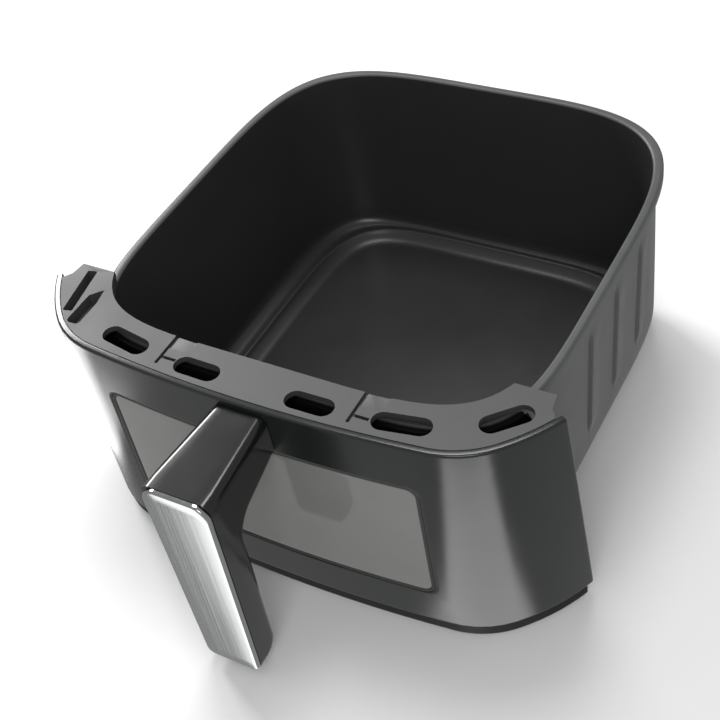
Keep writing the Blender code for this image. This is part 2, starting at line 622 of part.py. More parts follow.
def make_deck():
    """The top: a plate between the front's lip and the pan, with a skirt and a seat on the rim."""
    edge = SHELL_WALL + DECK_SEAM
    outer = trimmed(front_line(edge), WING_TOP_END + DECK_WING_STOP)
    inner = pan_front_line(-RIM_WIDTH - DECK_OVERHANG, DECK_TAIL_END)
    tail = outer[-1][0] - DECK_TAIL_STEP
    right = [(tail, DECK_TAIL_NOTCH - WING_TOP_END), (tail - DECK_TAIL_TAPER, -DECK_TAIL_END)]
    left = [(-x, y) for x, y in reversed(right)]
    deck = outline_solid("top_deck", outer + right + inner[::-1] + left, DECK_TOP - DECK_SHEET,
                         DECK_TOP, DECK_PLASTIC)
    root = DECK_TOP - ROOTED
    skirt_reach = WING_TOP_END + DECK_SKIRT_STOP
    skirt = (trimmed(front_line(edge + DECK_STEP), skirt_reach)
             + trimmed(front_line(edge + DECK_SKIRT_WALL), skirt_reach)[::-1])
    seat_line, seat_reach = -RIM_WIDTH - DECK_OVERHANG, DECK_TAIL_END + DECK_STEP
    seat = (pan_front_line(seat_line + DECK_SEAT, seat_reach)
            + pan_front_line(seat_line + DECK_STEP, seat_reach)[::-1])
    for name, outline, foot in (("deck_skirt", skirt, DECK_TOP - DECK_SHEET - DECK_SKIRT),
                                ("deck_seat", seat, PAN_HEIGHT + GAP),
                                ("keyway_block", keyway_block(), PAN_HEIGHT + GAP)):
        boolean(deck, outline_solid(name, outline, foot, root, where=cutters), "UNION")
    slots = [("keyway_outer", keyway_outer(), PAN_HEIGHT + GAP + KEYWAY_FLOOR),
             ("keyway_inner", keyway_inner(), PAN_HEIGHT + GAP + KEYWAY_FLOOR),
             ("vent_right_corner", stadium(VENT_CORNER_ACROSS, VENT_CORNER_FORWARD,
                                           VENT_CORNER_LENGTH, VENT_WIDTH, VENT_CORNER_TURN),
              PAN_HEIGHT - CUT_PAST)]
    for side, name in ((-1, "left"), (1, "right")):
        inner_vent = stadium(side * (VENT_PITCH - VENT_SHIFT), VENT_INNER_FORWARD,
                             VENT_INNER_LENGTH, VENT_WIDTH, side * VENT_INNER_TURN)
        outer_vent = stadium(side * (2 * VENT_PITCH - VENT_SHIFT), VENT_OUTER_FORWARD,
                             VENT_OUTER_LENGTH, VENT_WIDTH, side * VENT_OUTER_TURN)
        slots += [("vent_inner_" + name, inner_vent, PAN_HEIGHT - CUT_PAST),
                  ("vent_outer_" + name, outer_vent, PAN_HEIGHT - CUT_PAST),
                  ("mark_" + name, mark_outline(side * (1.5 * VENT_PITCH - MARK_SHIFT)),
                   DECK_TOP - MARK_DEPTH),
                  ("pocket_" + name, pocket_outline(side * (1.5 * VENT_PITCH - MARK_SHIFT)),
                   DECK_TOP - POCKET_DEPTH)]
    for name, outline, foot in slots:
        boolean(deck, outline_solid(name, outline, foot, DECK_TOP + CUT_PAST, where=cutters))
    return deck


def mark_outline(across):
    """A slit from the pan forward, with a crossbar towards +X."""
    left, right = across - MARK_WIDTH / 2, across + MARK_WIDTH / 2
    front, back = -MARK_BAR_FORWARD - MARK_WIDTH / 2, -MARK_BAR_FORWARD + MARK_WIDTH / 2
    return [(left, -MARK_END), (right, -MARK_END), (right, front), (across + MARK_BAR, front),
            (across + MARK_BAR, back), (right, back), (right, -MARK_START), (left, -MARK_START)]


def pocket_outline(across):
    """The recess on a slit's +X side, from past the deck's inner edge forward."""
    right = across + POCKET_WIDTH
    return rounded([(across, -POCKET_END, 0.0), (right, -POCKET_END, POCKET_ROUND),
                    (right, -MARK_START, 0.0), (across, -MARK_START, 0.0)])


def keyway_outer():
    """The outer keyway: a slot that slants in from near the deck's left rear end."""
    back, front = Vector(KEYWAY_BACK), Vector(KEYWAY_FRONT)
    along = (front - back).normalized()
    aside = Vector((-along.y, along.x)) * KEYWAY_WIDTH / 2
    corners = (back - aside, front - aside, front + aside, back + aside)
    return rounded([(x, y, KEYWAY_ROUND) for x, y in corners], 3)


def keyway_inner():
    """The inner keyway: beside the outer one past a thin web, with a pointed rear end."""
    right = KEYWAY_INNER_EDGE
    left = KEYWAY_FRONT[0] + KEYWAY_WIDTH / 2 + KEYWAY_WEB
    tip = KEYWAY_INNER_TIP
    return rounded([(left, tip - KEYWAY_TIP_LEFT, 0.0), (right - KEYWAY_TIP_IN, tip, 0.0),
                    (right, tip - KEYWAY_TIP_RIGHT, 0.0),
                    (right, KEYWAY_INNER_END, KEYWAY_INNER_ROUND),
                    (left, KEYWAY_INNER_END, KEYWAY_INNER_ROUND)])


def keyway_block():
    """Outline of the block that both keyways are sunk in, inside the deck's own outline."""
    margin = KEYWAY_MARGIN
    left = KEYWAY_BACK[0] - KEYWAY_WIDTH / 2 - margin
    right = KEYWAY_INNER_EDGE + margin
    front = KEYWAY_INNER_END - margin
    back = -DECK_TAIL_END - KEYWAY_BLOCK_INSET
    side = front_line(SHELL_WALL + DECK_SEAM + KEYWAY_BLOCK_INSET)
    edge = [(x, y) for x, y in side if left < x < right and front < y]
    return ([(left, back)] + edge + [trimmed(side, -front)[0], (right, front),
            (right, back - KEYWAY_BLOCK_DEPTH), (left + KEYWAY_BLOCK_REAR, back)])


def cover_line(outward, flap_depth):
    """A line of the inner cover in plan: round the pan's front, with a flap out to each wing."""
    line = pan_front_line(outward, COVER_FLAP_ROOT)
    inset = BASE_SINK + BASE_BAND + 2 * GAP
    wing = trimmed(front_line(inset), WING_TOP_END + COVER_FLAP_FORWARD)
    (left, y), (right, _) = wing[0], wing[-1]
    return [(left, y + flap_depth)] + line + [(right, y + flap_depth)]


def make_cover():
    """The inner cover: a wall round the pan's front that closes the front's hollow."""
    inner = cover_line(COVER_CLEARANCE, COVER_SHEET)
    outer = cover_line(COVER_CLEARANCE + COVER_SHEET, 0.0)
    return outline_solid("inner_cover", outer + inner[::-1], COVER_FOOT, COVER_TOP, COVER_PLASTIC)


def make_base():
    """The base: a floor between the cover and the band that shows under the shell."""
    reach = WING_FOOT_END + BASE_WING_STOP
    outer = trimmed(front_line(BASE_SINK), reach)
    band_back = trimmed(front_line(BASE_SINK + BASE_BAND), reach)
    inner = pan_front_line(COVER_CLEARANCE, reach)
    base = outline_solid("base_trim", outer + inner[::-1], STAND, STAND + BASE_FLOOR, TRIM_PLASTIC)
    bm = bmesh.new()
    bm.from_mesh(base.data)
    on_outline = {(round(x, 6), round(y, 6)) for x, y in outer}

    def under_edge(edge):
        return edge.calc_face_angle(0.0) > 1.0 and all(
            v.co.z < STAND + 1e-6 and (round(v.co.x, 6), round(v.co.y, 6)) in on_outline
            for v in edge.verts)

    edges = [edge for edge in bm.edges if under_edge(edge)]
    bmesh.ops.bevel(bm, geom=edges, offset=BASE_EDGE, segments=3, profile=0.5, affect="EDGES")
    bm.to_mesh(base.data)
    bm.free()
    band = outline_solid("base_band", outer + band_back[::-1],
                         STAND + (BASE_FLOOR + BASE_EDGE) / 2, STAND + BASE_HEIGHT, where=cutters)
    boolean(base, band, "UNION")
    return base


# ---------------------------------------------------------------- handle

def grip_half_width(forward, height):
    """Half the handle's width: it widens from the root to the grip and narrows to the foot."""
    out = min(1.0, max(0.0, (-forward - FRONT_REACH) / HANDLE_REACH))
    down = min(1.0, max(0.0, (HANDLE_TOP - height) / (HANDLE_TOP - HANDLE_FOOT)))
    grip = GRIP_TOP_WIDTH + (GRIP_FOOT_WIDTH - GRIP_TOP_WIDTH) * down
    return (HANDLE_ROOT_WIDTH + (grip - HANDLE_ROOT_WIDTH) * min(1.0, out * 1.15)) / 2


def make_handle():
    """The handle's body: its side outline drawn across X, then narrowed and rounded."""
    back = HANDLE_FACE + GRIP_DEPTH
    outline = rounded([(HANDLE_ROOT, HANDLE_TOP, 0.0), (HANDLE_ROOT, HANDLE_ROOT_FOOT, 0.0),
                       (back, HANDLE_ELBOW, ELBOW_RADIUS), (back, HANDLE_FOOT, HEEL_RADIUS),
                       (HANDLE_FACE, HANDLE_FOOT, 0.0), (HANDLE_FACE, HANDLE_TOP, 0.0)], 6)
    body = outline_solid("handle_body", outline, -1.0, 1.0, HANDLE_PLASTIC)
    body.data.transform(ACROSS)
    for vert in body.data.vertices:
        vert.co.x = math.copysign(grip_half_width(vert.co.y, vert.co.z), vert.co.x)
    bm = bmesh.new()
    bm.from_mesh(body.data)
    bmesh.ops.recalc_face_normals(bm, faces=bm.faces)

    def on_plane(edge, place):
        return all(abs(v.co.y - place) < 1e-6 for v in edge.verts)

    edges = [e for e in bm.edges if e.calc_face_angle(0.0) > 1.0
             and abs(e.verts[0].co.x) + abs(e.verts[1].co.x) > 20 * MM
             and e.verts[0].co.x * e.verts[1].co.x > 0
             and not on_plane(e, HANDLE_FACE) and not on_plane(e, HANDLE_ROOT)]
    bmesh.ops.bevel(bm, geom=edges, offset=HANDLE_EDGE, segments=4, profile=0.5, affect="EDGES")
    bm.to_mesh(body.data)
    bm.free()
    for x in (-HANDLE_SCREW_SPAN / 2, HANDLE_SCREW_SPAN / 2):
        hole = cylinder("handle_bore_%s" % ("left" if x < 0 else "right"), SCREW_SHANK + HOLE_CLEARANCE,
                        HANDLE_ROOT + CUT_PAST, HANDLE_ROOT - SCREW_BITE, where=cutters,
                        matrix=Matrix.Translation((x, 0.0, HANDLE_SCREW_HEIGHT)))
        boolean(body, hole)
    return body


def make_plate():
    """The bright plate on the handle's face, with the same outline as the grip behind it."""
    top, foot = HANDLE_TOP - PLATE_MARGIN, HANDLE_FOOT + PLATE_MARGIN
    wide = grip_half_width(HANDLE_FACE, top) - PLATE_MARGIN
    narrow = grip_half_width(HANDLE_FACE, foot) - PLATE_MARGIN
    outline = rounded([(-narrow, foot, HANDLE_EDGE), (narrow, foot, HANDLE_EDGE),
                       (wide, top, HANDLE_EDGE), (-wide, top, HANDLE_EDGE)], 5)
    plate = facing_solid("handle_plate", outline, PLATE_BACK, PLATE_BACK - PLATE_THICKNESS, BRUSHED)
    bevel(plate, PLATE_EDGE, 2, 50.0)
    return plate


def make_backing(shell):
    """The steel plate behind the shell that spreads the handle's load, and its two screws."""
    backing = front_sheet("handle_backing", SHELL_WALL + GAP, SHELL_WALL + GAP + BACKING_SHEET,
                          BACKING_FOOT - CUT_PAST, BACKING_TOP + CUT_PAST, ZINC)
    half = BACKING_HALF_WIDTH
    corners = ((-half, BACKING_FOOT), (half, BACKING_FOOT), (half, BACKING_TOP), (-half, BACKING_TOP))
    tool = facing_solid("backing_outline", rounded([(x, z, BACKING_CORNER) for x, z in corners]),
                        -FRONT_REACH - CUT_PAST, -FRONT_REACH + CUT_PAST, where=cutters)
    boolean(backing, tool, "INTERSECT")
    sink = HANDLE_SCREW_SPAN ** 2 / (2 * BOW_RADIUS)
    seat = -FRONT_REACH + SHELL_WALL + 2 * GAP + BACKING_SHEET + sink
    for side, x in (("left", -HANDLE_SCREW_SPAN / 2), ("right", HANDLE_SCREW_SPAN / 2)):
        place = Matrix.Translation((x, 0.0, HANDLE_SCREW_HEIGHT))
        hole = cylinder("handle_screw_hole_" + side, SCREW_SHANK + HOLE_CLEARANCE,
                        HANDLE_ROOT - GAP, -FRONT_REACH + CUT_PAST, where=cutters, matrix=place)
        boolean(shell, hole)
        boolean(backing, hole)
        screw("handle_screw_" + side, HANDLE_ROOT - SCREW_BITE + SCREW_TIP, seat, place)
    return backing


def screw(name, tip, seat, matrix):
    """A pan-head screw along Y: shank from its tip to its seat, and a domed head behind it."""
    head = SCREW_HEAD_HEIGHT
    profile = [(0.0, seat + head), (SCREW_HEAD * 0.55, seat + head),
               (SCREW_HEAD * 0.9, seat + head * 0.7), (SCREW_HEAD, seat), (SCREW_SHANK, seat),
               (SCREW_SHANK, tip + SCREW_TIP), (SCREW_SHANK * 0.4, tip), (0.0, tip)]
    return turned(name, profile, matrix, ZINC)


def turned(name, profile, matrix, mat, steps=14):
    """A turned piece about Y: (radius, place) pairs from its far end to its near end."""
    mesh = bpy.data.meshes.new(name)
    bm = bmesh.new()
    line = [bm.verts.new((radius, 0.0, place)) for radius, place in profile]
    for first, second in zip(line, line[1:]):
        bm.edges.new((first, second))
    bm.to_mesh(mesh)
    bm.free()
    obj = add_mesh(name, mesh, mat)
    spin = obj.modifiers.new("turned", "SCREW")
    spin.axis = "Z"
    spin.angle = 2 * math.pi
    spin.steps = steps
    spin.render_steps = steps
    spin.use_merge_vertices = True
    spin.merge_threshold = 1e-5
    baked(obj)
    obj.data.transform(Matrix.Rotation(math.radians(-90), 4, "X"))
    obj.data.transform(matrix)
    smooth(obj)
    return obj


# ---------------------------------------------------------------- bracket and fasteners

def front_wall_frame(across, height):
    """A frame on the pan's front wall: its origin on the outer face, its Y along the normal."""
    inset = wall_inset(height)[2] - PAN_SHEET
    lean = math.atan2(FRONT_DRAFT, PAN_HEIGHT - WALL_FOOT)
    place = Matrix.Translation((across, -(PAN_FRONT - inset), height))
    return place @ Matrix.Rotation(lean, 4, "X")


def make_bracket(pan, cover):
    """The steel bracket between pan and cover, riveted to the pan and screwed to the cover."""
    middle = (BRACKET_FOOT + BRACKET_TOP) / 2
    frame = front_wall_frame(0.0, middle)
    half, tall = BRACKET_HALF_WIDTH, (BRACKET_TOP - BRACKET_FOOT) / 2
    outline = rounded([(-half, -tall, BRACKET_CORNER), (half, -tall, BRACKET_CORNER),
                       (half, tall, BRACKET_CORNER), (-half, tall, BRACKET_CORNER)])
    bracket = facing_solid("pan_bracket", outline, -GAP, -GAP - BRACKET_SHEET, ZINC)
    bracket.data.transform(frame)
    inside, outside = PAN_SHEET + GAP, -2 * GAP - BRACKET_SHEET
    for side, x in (("left", -RIVET_SPAN / 2), ("right", RIVET_SPAN / 2)):
        for level, height in zip(("lower", "upper"), RIVET_HEIGHTS):
            place = front_wall_frame(x, height)
            droop = wall_bow(x)
            hole = cylinder("rivet_hole_%s_%s" % (side, level), RIVET_SHANK + HOLE_CLEARANCE,
                            -CUT_PAST, CUT_PAST, where=cutters, matrix=place, sides=20)
            boolean(pan, hole)
            boolean(bracket, hole)
            head, radius = RIVET_HEAD_HEIGHT, RIVET_HEAD
            far = inside + droop
            profile = [(0.0, far + head), (radius * 0.6, far + head * 0.85), (radius, far),
                       (RIVET_SHANK, far), (RIVET_SHANK, outside), (radius, outside),
                       (radius * 0.6, outside - head * 0.85), (0.0, outside - head)]
            turned("pan_rivet_%s_%s" % (side, level), profile, place, ZINC)
    bore = SCREW_SHANK + HOLE_CLEARANCE
    wall = -(PAN_FRONT + COVER_CLEARANCE)
    for side, x in (("left", -BRACKET_SCREW_SPAN / 2), ("right", BRACKET_SCREW_SPAN / 2)):
        place = Matrix.Translation((x, 0.0, BRACKET_SCREW_HEIGHT))
        bracket_front = front_wall_frame(x, BRACKET_SCREW_HEIGHT).translation.y - GAP - BRACKET_SHEET
        boss_end = bracket_front - 2 * GAP
        boss = cylinder("cover_boss_" + side, BOSS_RADIUS, boss_end, wall - COVER_SHEET * 0.6,
                        where=cutters, matrix=place)
        boolean(cover, boss, "UNION")
        hole = cylinder("bracket_screw_hole_" + side, bore, wall + CUT_PAST, wall - CUT_PAST,
                        where=cutters, matrix=place)
        boolean(cover, hole)
        boolean(bracket, hole)
        seat = wall - COVER_SHEET - GAP
        tip = bracket_front + BRACKET_SHEET
        flip = place @ Matrix.Translation((0.0, seat, 0.0)) @ Matrix.Rotation(math.pi, 4, "Z")
        screw("bracket_screw_" + side, seat - tip, 0.0, flip)
    return bracket


def wall_bow(across):
    """How far the pan's front wall has curved back at a distance from the middle."""
    half_width = PAN_HALF_WIDTH - RIM_WIDTH
    power = PAN_FRONT_SQUARENESS
    return PAN_FRONT * (1 - (1 - (abs(across) / half_width) ** power) ** (1 / power))


def make_base_screws(base, cover):
    """Two screws that stand in bosses: up through the base, into the cover."""
    upright = Matrix.Rotation(math.radians(90), 4, "X")
    radius = BASE_BOSS_RADIUS
    forward = front_depth(COVER_CLEARANCE + COVER_SHEET, BASE_SCREW_ACROSS - radius) + GAP + radius
    root = front_depth(COVER_CLEARANCE, BASE_SCREW_ACROSS) + COVER_SHEET * 0.4
    for side, sign in (("left", -1), ("right", 1)):
        across = sign * BASE_SCREW_ACROSS
        place = Matrix.Translation((across, -forward, STAND)) @ upright
        seat = SCREW_HEAD_HEIGHT + 2 * GAP
        tip = BASE_BOSS_TOP + BASE_SCREW_BITE
        foot = cylinder("base_boss_" + side, radius, BASE_FLOOR / 2, BASE_BOSS_TOP,
                        where=cutters, matrix=place)
        nose = radius * 0.98
        outline = rounded([(across - radius, -root, 0.0), (across - radius, -forward - radius, nose),
                           (across + radius, -forward - radius, nose), (across + radius, -root, 0.0)])
        post = outline_solid("cover_post_" + side, outline, STAND + BASE_BOSS_TOP + GAP,
                             STAND + COVER_BOSS_TOP, where=cutters)
        boolean(base, foot, "UNION")
        boolean(cover, post, "UNION")
        well = cylinder("base_screw_well_" + side, SCREW_HEAD + HOLE_CLEARANCE, -CUT_PAST, seat,
                        where=cutters, matrix=place)
        bore = cylinder("base_screw_bore_" + side, SCREW_SHANK + HOLE_CLEARANCE, -CUT_PAST,
                        tip + SCREW_TIP, where=cutters, matrix=place)
        boolean(base, well)
        boolean(base, bore)
        boolean(cover, bore)
        flip = place @ Matrix.Translation((0.0, seat - GAP, 0.0)) @ Matrix.Rotation(math.pi, 4, "Z")
        screw("base_screw_" + side, seat - GAP - tip, 0.0, flip)


def make_feet():
    """Four soft feet, bonded under the flat of the pan's floor."""
    height, radius = FRONT_DROP, FOOT_RADIUS
    profile = [(0.0, -GAP), (radius, -GAP), (radius, -height * 0.75),
               (radius - height * 0.25, -height), (0.0, -height)]
    upright = Matrix.Rotation(math.radians(90), 4, "X")
    for name, across, along in (("rear_left", -FOOT_ACROSS, FOOT_BACK),
                                ("rear_right", FOOT_ACROSS, FOOT_BACK),
                                ("front_left", -FOOT_ACROSS, -FOOT_FORWARD),
                                ("front_right", FOOT_ACROSS, -FOOT_FORWARD)):
        turned("foot_" + name, profile, Matrix.Translation((across, along, 0.0)) @ upright,
               SEAL_RUBBER, 20)


# ---------------------------------------------------------------- assembly

pan = make_pan()
shell = make_shell()
pane, seal, window_frame = make_window()
deck = make_deck()
cover = make_cover()
base = make_base()
handle = make_handle()
plate = make_plate()
backing = make_backing(shell)
bracket = make_bracket(pan, cover)
make_base_screws(base, cover)
make_feet()

for piece in (pan, shell, pane, seal, window_frame, deck, cover, base, handle, plate, backing,
              bracket):
    smooth(piece)

lowered = bpy.data.objects.new("pan_floor_origin", None)
lowered.location.z = -PAN_SHEET
parts.objects.link(lowered)
for piece in list(parts.objects) + list(cutters.objects):
    if piece is not lowered:
        piece.parent = lowered
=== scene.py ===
"""Looks of an air fryer's pull-out drawer: its pieces as fine surfaces, their finishes and a stage.

X runs across the drawer, +Y to the back of the pan and +Z up. Everything is in metres, and the
pan's floor is at height zero. Depths in plan grow forward, towards -Y.
"""

import math

import bmesh
import bpy
import numpy as np
from mathutils import Matrix, Vector


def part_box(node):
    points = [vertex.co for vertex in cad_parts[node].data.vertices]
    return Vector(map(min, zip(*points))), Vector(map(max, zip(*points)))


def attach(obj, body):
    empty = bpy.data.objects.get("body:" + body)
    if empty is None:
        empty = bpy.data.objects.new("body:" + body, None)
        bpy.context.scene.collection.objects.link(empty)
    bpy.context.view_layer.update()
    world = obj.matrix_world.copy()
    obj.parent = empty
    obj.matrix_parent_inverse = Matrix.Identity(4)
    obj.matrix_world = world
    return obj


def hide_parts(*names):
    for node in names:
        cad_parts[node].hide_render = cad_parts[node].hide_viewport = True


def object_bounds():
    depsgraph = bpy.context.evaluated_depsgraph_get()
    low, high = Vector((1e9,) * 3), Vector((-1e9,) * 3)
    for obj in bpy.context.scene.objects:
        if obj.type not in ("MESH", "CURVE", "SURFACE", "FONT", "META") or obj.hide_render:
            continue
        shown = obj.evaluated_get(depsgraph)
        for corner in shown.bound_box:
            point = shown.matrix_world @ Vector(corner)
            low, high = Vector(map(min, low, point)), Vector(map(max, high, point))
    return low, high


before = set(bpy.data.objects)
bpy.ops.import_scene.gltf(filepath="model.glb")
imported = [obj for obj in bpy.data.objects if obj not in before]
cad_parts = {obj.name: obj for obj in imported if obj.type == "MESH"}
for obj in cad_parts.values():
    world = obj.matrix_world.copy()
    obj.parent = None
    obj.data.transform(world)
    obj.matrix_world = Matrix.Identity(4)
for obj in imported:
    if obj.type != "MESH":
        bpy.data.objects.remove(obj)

bl_info = {
    "name": "Air Fryer Drawer",
    "version": (1, 0, 0),
    "blender": (4, 5, 0),
    "location": "3D View > Sidebar > Drawer",
    "description": "Builds the finished pieces of an air fryer's drawer around its frame",
    "category": "Object",
}

CAD_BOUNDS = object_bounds()
BODY = "root"
MM = 0.001

# ---------------------------------------------------------------- sizes read from the frame

PAN_LOW, PAN_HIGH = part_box("pan")
SHELL_LOW, SHELL_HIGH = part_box("front_shell")
PANE_LOW, PANE_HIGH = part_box("window_pane")
HANDLE_LOW, HANDLE_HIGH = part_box("handle_body")
PLATE_LOW, PLATE_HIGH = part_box("handle_plate")
STAND = CAD_BOUNDS[0].z

# ---------------------------------------------------------------- sizes of the pan

PAN_REAR_SQUARENESS = 4.15        # exponent of the rounded square, rear half
PAN_FRONT_SQUARENESS = 5.0
FLOOR_SQUARENESS_GAIN = 1.1       # the floor's outline is this much squarer than the rim's
PAN_SHEET = 1.5 * MM
RIM_WIDTH = 5.0 * MM
RIM_DROP = 5.0 * MM
RIM_OUTER_ROUND = 1.8 * MM
RIM_INNER_ROUND = 1.7 * MM
RIM_ENAMEL = 1.0 * MM             # below the rim's top, the enamel covers this much of it
DRAFTS = np.array((4.0, 1.2, 4.0)) * MM       # side, rear and front wall lean in on the way down
LEDGES = np.array((9.0, 4.0, 7.0)) * MM       # from each wall's foot in to the ledge
WALL_FOOT = 15.0 * MM             # height over the underside at which the wall turns in
LEDGE_HEIGHT = 7.0 * MM
LEDGE_WIDTH = 1.4 * MM
LEDGE_ROUND = 1.6 * MM            # where the ledge turns down to the floor
FLOOR_INSET = 10.5 * MM           # from the ledge in to where the floor is flat
PAN_COLUMNS = 560
WALL_ROWS_INSIDE = 10
WALL_ROWS_OUTSIDE = 40            # enough for the ribs to fade in and out
FLOOR_ROWS = 14

BEAD_PITCH = 34.0 * MM
BEAD_CENTRE = 19.5 * MM           # the middle rib, behind the pan's middle
BEAD_MIDDLE = 63.0 * MM           # the ribs' middle, over the pan's underside
BEAD_HEIGHT = 66.0 * MM
BEAD_WIDTH = 9.0 * MM
BEAD_STEP = 1.2 * MM              # the wall steps up over this length at a rib's front edge
BEAD_SHOULDER = 1.6 * MM          # where it starts to fall back
BEAD_FALL = 1.5 * BEAD_WIDTH      # over which it falls
BEAD_SIDE = 0.86                  # ribs start at this share of the pan's half width
BEAD_SIDE_BLEND = 0.04            # and are full over this further share
CREASE_WIDTH = 0.9 * MM           # of the groove before the step
CREASE_DEPTH = 0.95               # as a share of the rib's rise
CREASE_REACH = 4.0 * MM           # on each side of a crease, columns are closer together
CREASE_COLUMNS = 21

# ---------------------------------------------------------------- sizes of the front

BOW_RADIUS = 840.0 * MM           # the front's outline: three arcs that meet in tangents
BOW_HALF_WIDTH = PAN_HIGH.x - 32.0 * MM
CORNER_RADIUS = 50.0 * MM
CORNER_TURN = math.radians(45.0)
WING_RADIUS = 110.0 * MM
WING_TURN = math.radians(75.0)    # further round than the wing's rear edge
WING_LEAN = 10.0 * MM             # the wing's rear edge is this much further forward at the top
SHELL_WALL = 3.0 * MM
SHELL_CORNER = 1.6 * MM           # radius of the shell's outline at its four corners
SMALLEST_CORNER = 0.05 * MM
SHELL_ROWS = 44                   # across the wall, from the opening to the outer edge
OPENING_ROUND = 0.35              # of the opening's round, width as a share of its depth
SEAL_WIDTH = 1.2 * MM
SEAL_FIT = 0.05 * MM              # of the pressed seal to the pane and to the shell
SEAL_EDGE = 0.2 * MM
SEAL_ROWS = 4
WINDOW_ROUND = 5.0 * MM
GAP = 0.3 * MM
PANE_SINK = 0.4 * MM
PANE_THICKNESS = 3.0 * MM
PANE_EDGE = 0.5 * MM
PANE_ROWS = 14
PLASTIC_EDGE = 0.4 * MM           # round of the base's and the cover's edges
STEEL_EDGE = 0.3 * MM
FRAME_EDGE = 0.2 * MM

# ---------------------------------------------------------------- sizes of the handle and feet

GRIP_DEPTH = 17.0 * MM
ROOT_WIDTH = 28.5 * MM
GRIP_TOP_WIDTH = 36.5 * MM
GRIP_FOOT_WIDTH = 30.5 * MM
HANDLE_FLARE = 1.15               # full width is reached before the grip, at 1 / 1.15 of the way
HANDLE_EDGE = 4.6 * MM
BRIDGE_ROOT_HEIGHT = 24.2 * MM
BRIDGE_ELBOW_HEIGHT = 32.2 * MM
ELBOW_RADIUS = 13.0 * MM
HEEL_RADIUS = 11.0 * MM
TOP_POINTS, BRIDGE_POINTS, ELBOW_POINTS, GRIP_POINTS, HEEL_POINTS = 23, 15, 17, 32, 12
PLATE_FOOT_CORNER = 4.6 * MM
PLATE_TOP_CORNER = 8.0 * MM
PLATE_MARGIN = 0.2 * MM
PLATE_ROWS = 12
FOOT_ROUND = 1.5 * MM

# ---------------------------------------------------------------- mesh and finish

WELD = 0.001 * MM                 # points closer than this are one
CAD_WELD = 0.002 * MM
FLAT_ANGLE = math.radians(0.4)    # faces of a copied shape that turn less than this are joined
EDGE_ANGLE = math.radians(35.0)   # its edges that turn more than this are rounded
SHARP_ANGLE = math.radians(40.0)  # edges of a new piece that turn more than this stay sharp
DRIFT = 22.0 * MM                 # size of the slow changes of colour and gloss
SMOOTH = 6.0 * MM                 # ripples of a polished face, hardly deep enough to show

# ---------------------------------------------------------------- stage

WORLD_STRENGTH = 0.48
# Softboxes that face the drawer: name, place, size and power in watts.
LIGHTS = (
    ("key_softbox", (-1.3, 0.6, 1.0), (0.5, 0.5), 19.0),
    ("top_softbox", (-0.2, 0.3, 1.4), (0.5, 0.5), 8.0),
    ("front_fill", (0.5, -1.1, 0.9), (0.6, 0.6), 5.5),
)
# Reflectors under the floor that face up, where the upright glossy walls mirror them to a raised
# camera: name, place, size, turn in degrees, power, and the only pieces that they light.
UNDER_DEPTH = -0.2
UNDER_LIGHTS = (
    ("plate_strip", (-0.133, -0.3575), (0.36, 0.062), 39.3, 0.17, ("handle_trim_plate",)),
    ("corner_strip", (0.178, -0.305), (0.25, 0.22), 24.0, 0.52,
     ("front_shell_moulding", "base_moulding")),
    ("left_strip", (-0.42, -0.10), (0.16, 0.36), 0.0, 0.75, ("front_shell_moulding",)),
)
FLOOR_HALF = 4.0
FLOOR_COLOUR = "#f2f2f2"
CAMERA_TURN, CAMERA_RISE, CAMERA_ROLL = 36.904, 44.314, 11.786      # degrees
CAMERA_DISTANCE = 0.690779
CAMERA_TARGET = Vector((-0.002212, -0.041612, 0.0585))
CAMERA_LENS = 66.03               # in mm, as is the sensor
SENSOR_WIDTH = 36.0
CLIP_START = 0.01


def linear(colour):
    """Linear red, green and blue of an sRGB hex colour."""
    parts = [int(colour[i:i + 2], 16) / 255 for i in (1, 3, 5)]
    return tuple(c / 12.92 if c <= 0.04045 else ((c + 0.055) / 1.055) ** 2.4 for c in parts)


# ---------------------------------------------------------------- surfaces

def grid_faces(rows, columns, wrap_rows, wrap_columns):
    """Quads of a grid of points: each joins a point, its row below, and the next column."""
    row, column = np.meshgrid(np.arange(rows if wrap_rows else rows - 1),
                              np.arange(columns if wrap_columns else columns - 1), indexing="ij")
    below, after = (row + 1) % rows, (column + 1) % columns
    corners = (row * columns + column, below * columns + column,
               below * columns + after, row * columns + after)
    return np.stack(corners, -1).reshape(-1, 4)


def solid_from(name, patches, finish):
    """A closed mesh from (points, wrap rows, wrap columns) grids, welded where their edges meet."""
    points, faces, count = [], [], 0
    for grid, wrap_rows, wrap_columns in patches:
        rows, columns = grid.shape[:2]
        points.append(grid.reshape(-1, 3))
        faces.append(grid_faces(rows, columns, wrap_rows, wrap_columns) + count)
        count += rows * columns
    points, faces = np.concatenate(points), np.concatenate(faces)
    mesh = bpy.data.meshes.new(name)
    mesh.from_pydata(points, [], faces.tolist())
    bm = bmesh.new()
    bm.from_mesh(mesh)
    bmesh.ops.remove_doubles(bm, verts=bm.verts, dist=WELD)
    bmesh.ops.recalc_face_normals(bm, faces=bm.faces)
    bm.to_mesh(mesh)
    bm.free()
    mesh.shade_smooth()
    mesh.set_sharp_from_angle(angle=SHARP_ANGLE)
    mesh.materials.append(finish)
    piece = bpy.data.objects.new(name, mesh)
    bpy.context.scene.collection.objects.link(piece)
    return piece


def settle(piece, node):
    """The piece rides on the drawer and stands for its CAD node, which is hidden."""
    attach(piece, BODY)
    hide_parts(node)


